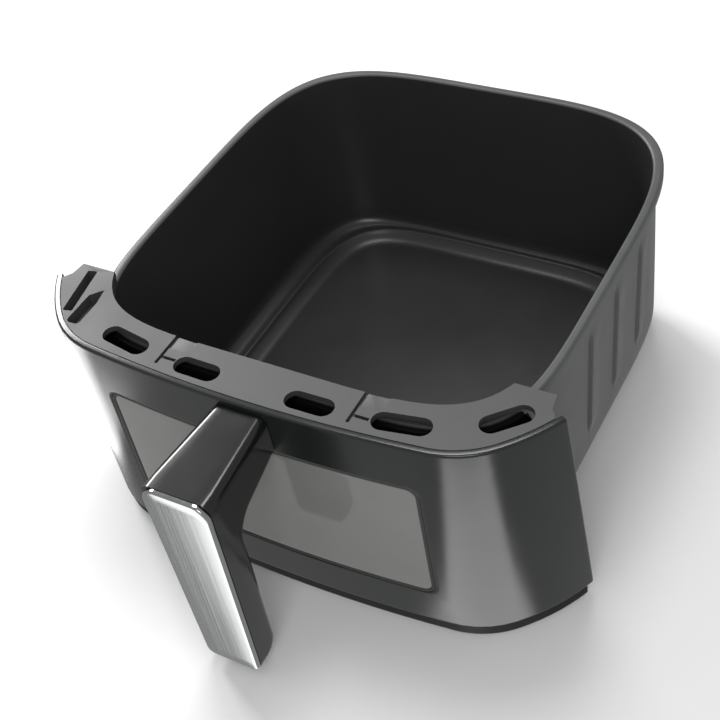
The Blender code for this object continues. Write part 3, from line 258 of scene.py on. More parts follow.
def moulded(node, name, finish, edge, segments=3):
    """A CAD node's shape with its sharp edges rounded, for pieces with many cut outlines.

    The node's loose triangles are copied, welded, joined where they are flat, and bevelled.
    """
    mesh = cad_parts[node].data.copy()
    mesh.name = name
    bm = bmesh.new()
    bm.from_mesh(mesh)
    bmesh.ops.remove_doubles(bm, verts=bm.verts, dist=CAD_WELD)
    bmesh.ops.dissolve_limit(bm, angle_limit=FLAT_ANGLE, verts=bm.verts, edges=bm.edges)
    bm.to_mesh(mesh)
    bm.free()
    mesh.materials.clear()
    mesh.materials.append(finish)
    piece = bpy.data.objects.new(name, mesh)
    bpy.context.scene.collection.objects.link(piece)
    bevel = piece.modifiers.new("rounded edges", "BEVEL")
    bevel.width = edge
    bevel.segments = segments
    bevel.limit_method = "ANGLE"
    bevel.angle_limit = EDGE_ANGLE
    mesh.shade_smooth()
    mesh.set_sharp_from_angle(angle=EDGE_ANGLE)
    bevel.harden_normals = True
    settle(piece, node)


def quarter(count):
    """Angles of a quarter turn from zero, both ends included, in radians."""
    return np.radians(np.linspace(0.0, 90.0, count))


def fillet(corner, before, after, radius, count):
    """Points of the arc of a radius that touches both lines of a corner, in a plane.

    The centre is on the bisector at radius / sin(half the angle), and the arc turns from one
    touching point to the other.
    """
    corner, before, after = (np.asarray(p, float) for p in (corner, before, after))
    a = (before - corner) / np.linalg.norm(before - corner)
    b = (after - corner) / np.linalg.norm(after - corner)
    half = math.acos(float(np.clip(a @ b, -1, 1))) / 2
    centre = corner + (a + b) / np.linalg.norm(a + b) * radius / math.sin(half)
    first = corner + a * radius / math.tan(half) - centre
    turn = (math.pi - 2 * half) * np.linspace(0.0, 1.0, count)
    if a[0] * b[1] - a[1] * b[0] > 0:
        turn = -turn
    cos, sin = np.cos(turn), np.sin(turn)
    return np.stack([centre[0] + cos * first[0] - sin * first[1],
                     centre[1] + sin * first[0] + cos * first[1]], -1)


def between(start, end, count):
    """Points on a straight line, both ends included."""
    share = np.linspace(0.0, 1.0, count)[:, None]
    return np.asarray(start) * (1 - share) + np.asarray(end) * share


def rounded_outline(corners, radii, straights, turn):
    """A closed outline of four corners: each an arc of so many points, then the next side.

    straights gives the points between each corner's arc and the next one's, ends left out.
    """
    arcs = [fillet(corner, corners[i - 1], corners[(i + 1) % 4], radii[i], turn)
            for i, corner in enumerate(corners)]
    sides = []
    for i, count in enumerate(straights):
        sides += [arcs[i], between(arcs[i][-1], arcs[(i + 1) % 4][0], count + 2)[1:-1]]
    return np.concatenate(sides)


# ---------------------------------------------------------------- the pan

def pan_ring(angle, insets, gain):
    """Points of the pan's rounded square seen from above, at polar angles.

    r = (|cos / a| ** n + |sin / b| ** n) ** (-1 / n), with a the half width and b the depth to
    the rear or the front, each less its own inset.
    """
    side, rear, front = insets
    back = np.sin(angle) >= 0.0
    power = np.where(back, PAN_REAR_SQUARENESS, PAN_FRONT_SQUARENESS) + gain
    depth = np.where(back, PAN_HIGH.y - rear, -PAN_LOW.y - front)
    half = PAN_HIGH.x - side
    radius = (np.abs(np.cos(angle) / half) ** power
              + np.abs(np.sin(angle) / depth) ** power) ** (-1 / power)
    return radius * np.cos(angle), radius * np.sin(angle)


def pan_angles():
    """Polar angles of the pan's columns: even, and closer together across each rib's crease."""
    even = (np.arange(PAN_COLUMNS) + 0.5) * 2 * math.pi / PAN_COLUMNS
    creases = BEAD_CENTRE + np.arange(-1, 2) * BEAD_PITCH - BEAD_WIDTH / 2
    close = (creases[:, None] + np.linspace(-CREASE_REACH, CREASE_REACH, CREASE_COLUMNS)).ravel()
    right = np.arctan2(close, PAN_HIGH.x)
    every = np.concatenate([even, right, math.pi - right])
    return np.unique(np.mod(every, 2 * math.pi))


def pan_section(wall_rows):
    """The pan's inner section from the lip's foot to the floor's edge, as arrays.

    Straight stretches and arcs: the lip, its outer round, the flat rim, its inner round, the
    leaning wall, an elliptic quarter down to the ledge, and an ogee of two arcs down to the floor.
    Returns insets (3, n), height, squareness gain, and the section's normal (out, down).
    """
    top = PAN_HIGH.z - PAN_LOW.z
    outer, inner = RIM_OUTER_ROUND, RIM_INNER_ROUND
    stretches = []

    def trace(inset, height, gain, out, down):
        inset, height = np.asarray(inset, float), np.asarray(height, float)
        if inset.ndim == 1:
            inset = np.stack([inset] * 3)
        one = np.ones_like(height)
        stretches.append((inset, height, gain * one, out * one, down * one))

    trace(np.zeros(3), np.linspace(top - RIM_DROP, top - outer, 3), 0.0, -1.0, 0.0)
    a = quarter(8)[1:]
    trace(outer * (1 - np.cos(a)), top - outer + outer * np.sin(a), 0.0, -np.cos(a), np.sin(a))
    trace(np.linspace(outer, RIM_WIDTH - inner, 3)[1:], np.full(2, top), 0.0, 0.0, 1.0)
    trace(RIM_WIDTH - inner + inner * np.sin(a), top - inner + inner * np.cos(a), 0.0,
          np.sin(a), np.cos(a))
    share = np.linspace(0.0, 1.0, wall_rows)[1:]
    height = (top - inner) * (1 - share) + WALL_FOOT * share
    trace(RIM_WIDTH + np.outer(DRAFTS, share), height, FLOOR_SQUARENESS_GAIN * share, 1.0, 0.0)
    foot = (RIM_WIDTH + DRAFTS)[:, None]
    a = quarter(12)[1:]
    trace(foot + np.outer(LEDGES, 1 - np.cos(a)),
          WALL_FOOT - (WALL_FOOT - LEDGE_HEIGHT) * np.sin(a), FLOOR_SQUARENESS_GAIN,
          np.cos(a), np.sin(a))
    brink = foot + LEDGES[:, None] + LEDGE_WIDTH
    slope = 2 * math.atan((LEDGE_HEIGHT - PAN_SHEET) / FLOOR_INSET)
    concave = FLOOR_INSET / math.sin(slope) - LEDGE_ROUND
    b = slope * np.linspace(0.0, 1.0, 8)[1:]
    trace(brink + LEDGE_ROUND * np.sin(b)[None], LEDGE_HEIGHT - LEDGE_ROUND * (1 - np.cos(b)),
          FLOOR_SQUARENESS_GAIN, np.sin(b), np.cos(b))
    b = slope * np.linspace(1.0, 0.0, 16)[1:]
    trace(brink + FLOOR_INSET - concave * np.sin(b)[None],
          PAN_SHEET + concave * (1 - np.cos(b)), FLOOR_SQUARENESS_GAIN, np.sin(b), np.cos(b))
    return [np.concatenate(parts, -1) for parts in zip(*stretches)]


def pan_surface(angle, wall_rows, outside):
    """Grid of the pan's inner or outer face: the section's rows, each a rounded square.

    The outer face is the inner one moved out by the sheet along the section's normal. The floor
    is the last row drawn in to the middle in equal shares.
    """
    insets, height, gain, out, down = pan_section(wall_rows)
    if outside:
        insets = insets - PAN_SHEET * out
        height = height - PAN_SHEET * down
    x, y = pan_ring(angle[None], insets[..., None], gain[:, None])
    z = np.broadcast_to((PAN_LOW.z + height)[:, None], x.shape)
    grid = np.stack([x, y, z], -1)
    shares = np.linspace(1.0, 0.0, FLOOR_ROWS)[1:, None, None]
    floor = grid[-1][None] * np.array((1.0, 1.0, 0.0)) * shares
    floor[..., 2] = grid[-1, 0, 2]
    return np.concatenate([grid, floor])


def pressed_beads(grid, rise):
    """Push the side walls out in three upright ribs.

    Across a rib the wall dips in a bell-shaped crease, steps up in a straight slope, and falls
    back in half a cosine. Up the wall the rib fades in and out in a smooth step as long as the
    rib is wide.
    """
    x, y, z = grid[..., 0], grid[..., 1], grid[..., 2] - PAN_LOW.z
    side = (np.abs(x) - PAN_HIGH.x * BEAD_SIDE) / (PAN_HIGH.x * BEAD_SIDE_BLEND)
    on_side = np.clip(side, 0.0, 1.0)
    inward = (BEAD_HEIGHT + BEAD_WIDTH) / 2 - np.abs(z - BEAD_MIDDLE)
    upright = np.clip(inward / BEAD_WIDTH, 0.0, 1.0)
    upright = upright * upright * (3 - 2 * upright)
    lift = np.zeros_like(x)
    for index in (-1, 0, 1):
        along = y - (BEAD_CENTRE + index * BEAD_PITCH) + BEAD_WIDTH / 2
        step = np.clip(along / BEAD_STEP, 0.0, 1.0)
        fall = 0.5 + 0.5 * np.cos(np.pi * np.clip((along - BEAD_SHOULDER) / BEAD_FALL, 0.0, 1.0))
        crease = np.exp(-((along + CREASE_WIDTH) / CREASE_WIDTH) ** 2)
        lift += rise * (step * fall - CREASE_DEPTH * crease)
    moved = grid.copy()
    moved[..., 0] += np.sign(x) * on_side * upright * lift
    return moved


# ---------------------------------------------------------------- the front

def front_arcs():
    """For each arc of the front's outline: its radius, first and last turn, and centre."""
    bow_turn = math.asin(BOW_HALF_WIDTH / BOW_RADIUS)
    place, first, arcs = np.array((0.0, SHELL_LOW.y)), 0.0, []
    for radius, last in ((BOW_RADIUS, bow_turn), (CORNER_RADIUS, CORNER_TURN),
                         (WING_RADIUS, WING_TURN)):
        centre = place + radius * np.array((-math.sin(first), math.cos(first)))
        arcs.append((radius, first, last, centre))
        place = centre + radius * np.array((math.sin(last), -math.cos(last)))
        first = last
    return arcs


def front_point(along, depth):
    """X and Y on the front at an arc length from the middle, at a depth into the wall.

    The outline turns by length / radius within each arc, and a point is the arc's centre plus
    (radius - depth) times the outward direction.
    """
    length = np.abs(along)
    x, y = np.zeros_like(length), np.zeros_like(length)
    start = 0.0
    arcs = front_arcs()
    for arc in arcs:
        radius, first, last, centre = arc
        end = start + radius * (last - first)
        here = (length >= start) & ((length < end) | (arc is arcs[-1]))
        turn = first + (length - start) / radius
        x = np.where(here, centre[0] + (radius - depth) * np.sin(turn), x)
        y = np.where(here, centre[1] - (radius - depth) * np.cos(turn), y)
        start = end
    return np.sign(along) * x, y


def along_at_forward(forward):
    """Arc length from the middle to where the wing is at a distance forward of the origin."""
    (bow, _, bow_turn, _), (corner, first, last, _), (wing, start, _, centre) = front_arcs()
    turn = np.arccos((centre[1] + forward) / wing)
    return bow * bow_turn + corner * (last - first) + wing * (turn - start)


def along_at_across(x):
    """Arc length from the middle to a place across, on the bow."""
    return BOW_RADIUS * np.arcsin(x / BOW_RADIUS)


def box_outline(half, low, high, radius, wide=48, tall=24, turn=12):
    """A rounded rectangle, counter-clockwise, with the same number of points at any size."""
    corners = [(-half, low), (half, low), (half, high), (-half, high)]
    return rounded_outline(corners, [radius] * 4, (wide, tall, wide, tall), turn)


def window_outline(margin):
    """The window's rounded rectangle grown by a margin, as arc length and height."""
    outline = box_outline(PANE_HIGH.x + margin, PANE_LOW.z - margin, PANE_HIGH.z + margin,
                          WINDOW_ROUND + margin)
    return np.stack([along_at_across(outline[:, 0]), outline[:, 1]], -1)


def shell_outline(margin):
    """The shell's own edge drawn in by a margin, as arc length and height.

    A rounded rectangle is sheared to follow the leaning rear edges, by an amount that grows with
    the cube of the distance from the middle.
    """
    low, high = SHELL_LOW.z + margin, SHELL_HIGH.z - margin
    middle = along_at_forward(-SHELL_HIGH.y + WING_LEAN / 2)
    outline = box_outline(middle - margin, low, high, max(SHELL_CORNER - margin, SMALLEST_CORNER))
    across = outline[:, 0]
    rise = (outline[:, 1] - SHELL_LOW.z) / (SHELL_HIGH.z - SHELL_LOW.z)
    end = along_at_forward(-SHELL_HIGH.y + WING_LEAN * rise)
    sheared = across + (end - middle) * np.sign(across) * (np.abs(across) / middle) ** 3
    return np.stack([sheared, outline[:, 1]], -1)


def on_front(loops):
    """A grid of points on the front, one row for each (outline, depth into the wall)."""
    rows = []
    for outline, depth in loops:
        x, y = front_point(outline[:, 0], depth)
        rows.append(np.stack([x, y, outline[:, 1]], -1))
    return np.stack(rows)


def wall_loop(inner, outer, front, back, edge, rows, steps=5):
    """A plate with an opening, bent along the front: one closed section carried round the opening.

    inner(margin) and outer(margin) give the outlines. The section runs over the opening's round,
    across the front face, over the outer round, and back behind, with straight lines between
    the two outlines.
    """
    angles = quarter(steps)
    shares = np.linspace(0.0, 1.0, rows)[1:-1]
    loops = [(inner(edge * (1 - math.cos(a))), front + edge * (1 - math.sin(a))) for a in angles]
    first, last = inner(edge), outer(edge)
    loops += [(first * (1 - s) + last * s, front) for s in shares]
    loops += [(outer(edge * (1 - math.sin(a))), front + edge * (1 - math.cos(a)))
              for a in angles]
    first, last = inner(0.0), outer(0.0)
    loops += [(last, back)]
    loops += [(last * (1 - s) + first * s, back) for s in shares]
    loops += [(first, back)]
    return on_front(loops)


def pane_surface():
    """The pane: rings from the middle of its face out, over its round edge and back behind."""
    middle = np.array((0.0, (PANE_LOW.z + PANE_HIGH.z) / 2))
    front, back = PANE_SINK, PANE_SINK + PANE_THICKNESS
    face, rear = window_outline(-PANE_EDGE), window_outline(0.0)
    loops = [(middle + (face - middle) * s, front) for s in np.linspace(0.0, 1.0, PANE_ROWS)]
    loops += [(window_outline(-PANE_EDGE * (1 - math.sin(a))),
               front + PANE_EDGE * (1 - math.cos(a))) for a in quarter(5)[1:]]
    loops += [(middle + (rear - middle) * s, back) for s in np.linspace(1.0, 0.0, PANE_ROWS)]
    return on_front(loops)


# ---------------------------------------------------------------- the handle

def handle_half_width(forward, height):
    """Half the handle's width: it widens evenly from the root to the grip, and narrows down it."""
    reach = HANDLE_HIGH.y - HANDLE_LOW.y
    out = np.clip((HANDLE_HIGH.y - forward) / reach * HANDLE_FLARE, 0.0, 1.0)
    down = np.clip((HANDLE_HIGH.z - height) / (HANDLE_HIGH.z - HANDLE_LOW.z), 0.0, 1.0)
    grip = GRIP_TOP_WIDTH + (GRIP_FOOT_WIDTH - GRIP_TOP_WIDTH) * down
    return (ROOT_WIDTH + (grip - ROOT_WIDTH) * out) / 2


def handle_outline(inset):
    """Side outline of the handle drawn in by an amount, as its outer line and its inner line.

    The outer line goes along the top and down the face. The inner line goes along the bridge's
    underside, round the elbow, down the grip's back and round the heel.
    """
    root, face = HANDLE_HIGH.y, HANDLE_LOW.y
    top, foot = HANDLE_HIGH.z - inset, HANDLE_LOW.z + inset
    back = face + GRIP_DEPTH - inset
    fall = (BRIDGE_ELBOW_HEIGHT - BRIDGE_ROOT_HEIGHT) / (root - face - GRIP_DEPTH)
    lift = inset * math.sqrt(1 + fall ** 2)

    def underside(y):
        return HANDLE_HIGH.z - BRIDGE_ROOT_HEIGHT - fall * (root - y) + lift

    start, elbow = (root, underside(root)), (back, underside(back))
    heel, toe = (back, foot), (face, foot)
    turn = fillet(elbow, start, heel, ELBOW_RADIUS + inset, ELBOW_POINTS)
    base = fillet(heel, elbow, toe, HEEL_RADIUS - inset, HEEL_POINTS)
    inner = np.concatenate([between(start, turn[0], BRIDGE_POINTS)[:-1], turn,
                            between(turn[-1], base[0], GRIP_POINTS)[1:-1], base])
    outer = np.concatenate([between((root, top), (face, top), TOP_POINTS),
                            between((face, top), toe, len(inner) - TOP_POINTS + 1)[1:]])
    return outer, inner


def handle_patches(steps=9, across=7, ends=9):
    """The handle's strip around its outline, and its two flat sides.

    The outline is drawn in by edge * (1 - cos a) while the width grows by edge * sin a, which
    rounds every long edge; each side is then ruled between the outer and the inner line.
    """
    edge = HANDLE_EDGE
    loops = []
    angles = quarter(steps)
    plan = ([(edge * (1 - math.cos(a)), -1, math.sin(a)) for a in angles[:0:-1]]
            + [(0.0, s, 0.0) for s in np.linspace(-1.0, 1.0, across)]
            + [(edge * (1 - math.cos(a)), 1, math.sin(a)) for a in angles[1:]])
    for inset, side, swell in plan:
        outer, inner = handle_outline(inset)
        toe = between(outer[-1], inner[-1], ends)[1:-1]
        root = between(inner[0], outer[0], ends)[1:-1]
        line = np.concatenate([outer, toe, inner[::-1], root])
        half = handle_half_width(line[:, 0], line[:, 1])
        x = side * (half - edge + edge * swell)
        loops.append(np.stack([x, line[:, 0], line[:, 1]], -1))
    patches = [(np.stack(loops), False, True)]
    outer, inner = handle_outline(edge)
    shares = np.linspace(0.0, 1.0, ends)[:, None, None]
    ruled = outer[None] * (1 - shares) + inner[None] * shares
    for side in (-1, 1):
        half = handle_half_width(ruled[..., 0], ruled[..., 1])
        patches.append((np.stack([side * half, ruled[..., 0], ruled[..., 1]], -1), False, False))
    return patches


def plate_outline(margin, wide=14, tall=40, turn=14):
    """The plate's tapering rounded outline drawn in by a margin, in X and Z."""
    top, foot = PLATE_HIGH.z - margin, PLATE_LOW.z + margin
    upper = PLATE_HIGH.x - margin
    lower = handle_half_width(HANDLE_LOW.y, HANDLE_LOW.z) - PLATE_MARGIN - margin
    corners = [(-lower, foot), (lower, foot), (upper, top), (-upper, top)]
    radii = [radius - margin for radius in (PLATE_FOOT_CORNER, PLATE_FOOT_CORNER,
                                            PLATE_TOP_CORNER, PLATE_TOP_CORNER)]
    return rounded_outline(corners, radii, (wide, tall, wide, tall), turn)


def plate_surface(edge):
    """The plate: rings from the middle of its face out, over its bevelled round, and back."""
    middle = np.array((0.0, (PLATE_LOW.z + PLATE_HIGH.z) / 2))
    face, rear = plate_outline(edge), plate_outline(0.0)
    out = np.linspace(0.0, 1.0, PLATE_ROWS)
    loops = [(middle + (face - middle) * s, PLATE_LOW.y) for s in out]
    loops += [(plate_outline(edge * (1 - math.sin(a))), PLATE_LOW.y + edge * (1 - math.cos(a)))
              for a in quarter(6)[1:]]
    loops += [(middle + (rear - middle) * s, PLATE_HIGH.y) for s in out[::-1]]
    return np.stack([np.stack([p[:, 0], np.full(len(p), y), p[:, 1]], -1) for p, y in loops])


# ---------------------------------------------------------------- turned pieces

def turned(profile, place, around=48):
    """A profile of (radius, distance) pairs turned about an axis and put in place by a matrix."""
    radius, far = np.asarray(profile, float).T
    angle = np.linspace(0.0, 2 * math.pi, around, endpoint=False)
    grid = np.stack([np.outer(radius, np.cos(angle)), np.outer(radius, np.sin(angle)),
                     np.broadcast_to(far[:, None], (len(far), around))], -1)
    matrix = np.array(place)
    return grid @ matrix[:3, :3].T + matrix[:3, 3]


# ---------------------------------------------------------------- finishes

def add(tree, kind, inputs=(), **settings):
    """Add a node, set its properties, then set or link its inputs by name."""
    node = tree.nodes.new(kind)
    for key, value in settings.items():
        setattr(node, key, value)
    for key, value in dict(inputs).items():
        if isinstance(value, bpy.types.NodeSocket):
            tree.links.new(value, node.inputs[key])
        else:
            node.inputs[key].default_value = value
    return node


def start_finish(name):
    """A new material: its tree, its shader, and the object coordinates, in metres."""
    finish = bpy.data.materials.new(name)
    finish.use_nodes = True
    tree = finish.node_tree
    shader = tree.nodes["Principled BSDF"]
    place = add(tree, "ShaderNodeTexCoord").outputs["Object"]
    return finish, tree, shader, place


def finish_with(tree, shader, tone, gloss, bump):
    """Link a finish's colour, roughness and bump to its shader."""
    tree.links.new(tone.outputs["Color"], shader.inputs["Base Color"])
    tree.links.new(gloss.outputs["Result"], shader.inputs["Roughness"])
    tree.links.new(bump.outputs["Normal"], shader.inputs["Normal"])


def per_metre(size):
    """Noise scale that gives features of a real size."""
    return 1.0 / size


def shade(colour, amount):
    """A linear colour made lighter or darker."""
    return tuple(c * amount for c in colour) + (1.0,)


def grained(name, colour, roughness, grain, depth, mottle=0.06, ior=1.5, spread=0.08,
            specular=0.5):
    """A moulded or painted finish: fine grain in the bump, slow drift in colour and gloss."""
    finish, tree, shader, place = start_finish(name)
    fine = add(tree, "ShaderNodeTexNoise", {
        "Vector": place, "Scale": per_metre(grain), "Detail": 2.0, "Roughness": 0.6})
    slow = add(tree, "ShaderNodeTexNoise", {
        "Vector": place, "Scale": per_metre(DRIFT), "Detail": 3.0, "Roughness": 0.55})
    tone = add(tree, "ShaderNodeValToRGB", {"Fac": slow.outputs["Fac"]})
    low, high = tone.color_ramp.elements
    low.position, high.position = 0.3, 0.7
    low.color, high.color = shade(colour, 1 - mottle), shade(colour, 1 + mottle)
    gloss = add(tree, "ShaderNodeMapRange", {
        "Value": slow.outputs["Fac"], "From Min": 0.3, "From Max": 0.7,
        "To Min": roughness * (1 - spread), "To Max": roughness * (1 + spread)})
    bump = add(tree, "ShaderNodeBump", {
        "Height": fine.outputs["Fac"], "Distance": depth, "Strength": 1.0})
    finish_with(tree, shader, tone, gloss, bump)
    shader.inputs["IOR"].default_value = ior
    shader.inputs["Specular IOR Level"].default_value = specular
    return finish


def nonstick_finish(colour):
    """Sprayed PTFE: near black, a soft sheen, and the faint orange peel of the sprayed coats."""
    return grained("sprayed_ptfe_nonstick", colour, roughness=0.3, grain=1.4 * MM,
                   depth=0.006 * MM, mottle=0.03, spread=0.05)


def pan_outside_finish(colour):
    """Silicone-polyester enamel on pressed steel: satin grey, slightly peeled."""
    return grained("silicone_enamel_exterior", colour, roughness=0.42, grain=1.2 * MM,
                   depth=0.014 * MM, mottle=0.07)


def deck_finish(colour):
    """ABS moulded against a spark-eroded tool: matt, with a fine even grain.

    The real grain is about a tenth of a millimetre, too fine to show, so it is drawn coarser.
    """
    return grained("moulded_abs_matt", colour, roughness=0.5, grain=0.9 * MM, depth=0.02 * MM,
                   mottle=0.05)


def shell_finish(colour):
    """ABS with a polished dark-grey lacquer: clear reflections, hardly any texture."""
    return grained("lacquered_abs_gloss", colour, roughness=0.2, grain=SMOOTH, depth=0.001 * MM,
                   mottle=0.04)


def trim_finish(colour):
    """ABS moulded in black, satin: a weak, wide sheen that keeps the edges in the shade dark."""
    return grained("moulded_abs_satin", colour, roughness=0.62, grain=1.0 * MM, depth=0.01 * MM,
                   specular=0.3)


def handle_finish(colour):
    """Glass-filled PBT, polished: deep black with slightly soft reflections."""
    return grained("polished_pbt_black", colour, roughness=0.2, grain=SMOOTH, depth=0.002 * MM,
                   mottle=0.08)


def rubber_finish(colour):
    """Silicone rubber, moulded: matt, a little dusty."""
    return grained("silicone_rubber", colour, roughness=0.75, grain=0.8 * MM, depth=0.02 * MM,
                   mottle=0.1, ior=1.43)


def glass_finish(colour):
    """Float glass painted on its back: an even grey under one hard, clear reflection."""
    return grained("back_painted_glass", colour, roughness=0.06, grain=SMOOTH,
                   depth=0.0008 * MM, mottle=0.03, ior=1.52, spread=0.2)


def paper_finish(colour):
    """Matt paper: pale and even, with no shine of its own."""
    return grained("pale_paper", colour, roughness=0.9, grain=SMOOTH, depth=0.0, mottle=0.005)


def brushed_finish(colour):
    """Brushed stainless steel: hairlines along the plate that stretch the reflections.

    Real hairlines are a few hundredths of a millimetre wide, too fine to show, so they are drawn
    1.3 mm wide, and 125 times as long.
    """
    finish, tree, shader, place = start_finish("brushed_stainless_steel")
    stretch = add(tree, "ShaderNodeMapping", {"Vector": place, "Scale": (1.0, 1.0, 0.008)})
    hair = add(tree, "ShaderNodeTexNoise", {
        "Vector": stretch.outputs["Vector"], "Scale": per_metre(1.3 * MM), "Detail": 4.0})
    gloss = add(tree, "ShaderNodeMapRange", {
        "Value": hair.outputs["Fac"], "From Min": 0.3, "From Max": 0.7, "To Min": 0.09,
        "To Max": 0.16})
    tone = add(tree, "ShaderNodeValToRGB", {"Fac": hair.outputs["Fac"]})
    low, high = tone.color_ramp.elements
    low.position, high.position = 0.25, 0.75
    low.color, high.color = shade(colour, 0.93), shade(colour, 1.05)
    bump = add(tree, "ShaderNodeBump", {
        "Height": hair.outputs["Fac"], "Distance": 0.002 * MM, "Strength": 1.0})
    finish_with(tree, shader, tone, gloss, bump)
    shader.inputs["Metallic"].default_value = 1.0
    return finish


def zinc_finish(colour):
    """Zinc-plated steel: dull bright metal with a cloudy spangle."""
    finish, tree, shader, place = start_finish("zinc_plated_steel")
    spangle = add(tree, "ShaderNodeTexVoronoi",
                  {"Vector": place, "Scale": per_metre(3.5 * MM)}, feature="F1")
    fine = add(tree, "ShaderNodeTexNoise", {"Vector": place, "Scale": per_metre(0.8 * MM)})
    tone = add(tree, "ShaderNodeValToRGB", {"Fac": spangle.outputs["Color"]})
    low, high = tone.color_ramp.elements
    low.color, high.color = shade(colour, 0.85), shade(colour, 1.08)
    gloss = add(tree, "ShaderNodeMapRange", {
        "Value": spangle.outputs["Distance"], "To Min": 0.3, "To Max": 0.42})
    bump = add(tree, "ShaderNodeBump", {
        "Height": fine.outputs["Fac"], "Distance": 0.01 * MM, "Strength": 1.0})
    finish_with(tree, shader, tone, gloss, bump)
    shader.inputs["Metallic"].default_value = 1.0
    return finish


# ---------------------------------------------------------------- settings

def colour_property(name, description, colour):
    """A colour setting whose default is an sRGB hex value."""
    return bpy.props.FloatVectorProperty(
        name=name, description=description, subtype="COLOR", size=3, min=0.0, max=1.0,
        default=linear(colour))


class DrawerSizes(bpy.types.PropertyGroup):
    """Sizes that change how the pieces look without changing the frame."""
    bead_rise: bpy.props.FloatProperty(
        name="Bead Rise", description="How far the ribs stand out of the pan's sides",
        default=1.1 * MM, min=0.0, max=3.0 * MM, subtype="DISTANCE", unit="LENGTH")
    shell_edge: bpy.props.FloatProperty(
        name="Shell Edge", description="Radius of the shell's edges",
        default=1.1 * MM, min=0.2 * MM, max=1.4 * MM, subtype="DISTANCE", unit="LENGTH")
    plate_edge: bpy.props.FloatProperty(
        name="Plate Edge", description="Radius of the handle plate's front edge",
        default=0.9 * MM, min=0.2 * MM, max=1.8 * MM, subtype="DISTANCE", unit="LENGTH")
    deck_edge: bpy.props.FloatProperty(
        name="Deck Edge", description="Radius of the deck's edges and of its slots",
        default=0.45 * MM, min=0.1 * MM, max=0.9 * MM, subtype="DISTANCE", unit="LENGTH")


class DrawerColours(bpy.types.PropertyGroup):
    """Base colours of the finishes."""
    nonstick: colour_property("Non-stick", "Coating inside the pan", "#303031")
    enamel: colour_property("Enamel", "Outside of the pan", "#4b4c4c")
    deck: colour_property("Deck", "Top deck", "#424242")
    shell: colour_property("Shell", "Front shell", "#1b1d1d")
    trim: colour_property("Trim", "Base trim and inner cover", "#101111")
    handle: colour_property("Handle", "Handle body", "#101011")
    rubber: colour_property("Rubber", "Seal and feet", "#3c3c3c")
    glass: colour_property("Glass", "Window pane", "#7b7c79")
    steel: colour_property("Steel", "Handle plate", "#a4a6a6")
    zinc: colour_property("Zinc", "Bracket, frame and fasteners", "#a9abad")


# ---------------------------------------------------------------- operators

class MakePan(bpy.types.Operator):
    """Make the pan: coated inside, enamelled outside, with three ribs on each side"""
    bl_idname = "fryer_drawer.make_pan"
    bl_label = "Pan"

    def execute(self, context):
        sizes, colours = context.scene.drawer_sizes, context.scene.drawer_colours
        angle = pan_angles()
        inside = pan_surface(angle, WALL_ROWS_INSIDE, False)
        outside = pressed_beads(pan_surface(angle, WALL_ROWS_OUTSIDE, True), sizes.bead_rise)
        grid = np.concatenate([inside[::-1], outside])
        pan = solid_from("pan_coated", [(grid, False, True)], nonstick_finish(colours.nonstick))
        pan.data.materials.append(pan_outside_finish(colours.enamel))
        paint_outside(pan.data)
        settle(pan, "pan")
        return {"FINISHED"}


def paint_outside(mesh):
    """Give the enamel to the faces that look away from the pan's middle or down, and to the rim."""
    count = len(mesh.polygons)
    centre, normal = np.empty(count * 3), np.empty(count * 3)
    mesh.polygons.foreach_get("center", centre)
    mesh.polygons.foreach_get("normal", normal)
    centre, normal = centre.reshape(-1, 3), normal.reshape(-1, 3)
    outward = (centre[:, :2] * normal[:, :2]).sum(1) > 0
    on_rim = centre[:, 2] > PAN_HIGH.z - RIM_ENAMEL
    looks_down = normal[:, 2] < -0.3
    mesh.polygons.foreach_set("material_index", (on_rim | looks_down | outward).astype(np.int32))
    mesh.update()


class MakeShell(bpy.types.Operator):
    """Make the bowed front shell with its window opening"""
    bl_idname = "fryer_drawer.make_shell"
    bl_label = "Front Shell"

    def execute(self, context):
        edge = context.scene.drawer_sizes.shell_edge
        margin = SEAL_WIDTH + 2 * GAP
        grid = wall_loop(lambda m: window_outline(margin + m * OPENING_ROUND), shell_outline,
                         0.0, SHELL_WALL, edge, SHELL_ROWS)
        shell = solid_from("front_shell_moulding", [(grid, True, True)],
                           shell_finish(context.scene.drawer_colours.shell))
        settle(shell, "front_shell")
        return {"FINISHED"}


class MakeWindow(bpy.types.Operator):
    """Make the window's pane, its seal and the frame behind it"""
    bl_idname = "fryer_drawer.make_window"
    bl_label = "Window"

    def execute(self, context):
        colours = context.scene.drawer_colours
        pane = solid_from("window_glass", [(pane_surface(), False, True)],
                          glass_finish(colours.glass))
        settle(pane, "window_pane")
        lip = SEAL_WIDTH + 2 * GAP - SEAL_FIT
        seal_grid = wall_loop(lambda m: window_outline(SEAL_FIT + m),
                              lambda m: window_outline(lip - m),
                              PANE_SINK / 2, SHELL_WALL, SEAL_EDGE, SEAL_ROWS)
        seal = solid_from("window_gasket", [(seal_grid, True, True)],
                          rubber_finish(colours.rubber))
        settle(seal, "window_seal")
        moulded("window_frame", "window_retainer", zinc_finish(colours.zinc),
                FRAME_EDGE, segments=2)
        return {"FINISHED"}


class MakeDeck(bpy.types.Operator):
    """Make the top deck with its vents, slits and switch slots"""
    bl_idname = "fryer_drawer.make_deck"
    bl_label = "Top Deck"

    def execute(self, context):
        moulded("top_deck", "deck_moulding",
                deck_finish(context.scene.drawer_colours.deck),
                context.scene.drawer_sizes.deck_edge)
        return {"FINISHED"}


class MakeBase(bpy.types.Operator):
    """Make the base trim and the inner cover behind the front"""
    bl_idname = "fryer_drawer.make_base"
    bl_label = "Base and Cover"

    def execute(self, context):
        finish = trim_finish(context.scene.drawer_colours.trim)
        moulded("base_trim", "base_moulding", finish, PLASTIC_EDGE)
        moulded("inner_cover", "cover_moulding", finish, PLASTIC_EDGE)
        return {"FINISHED"}


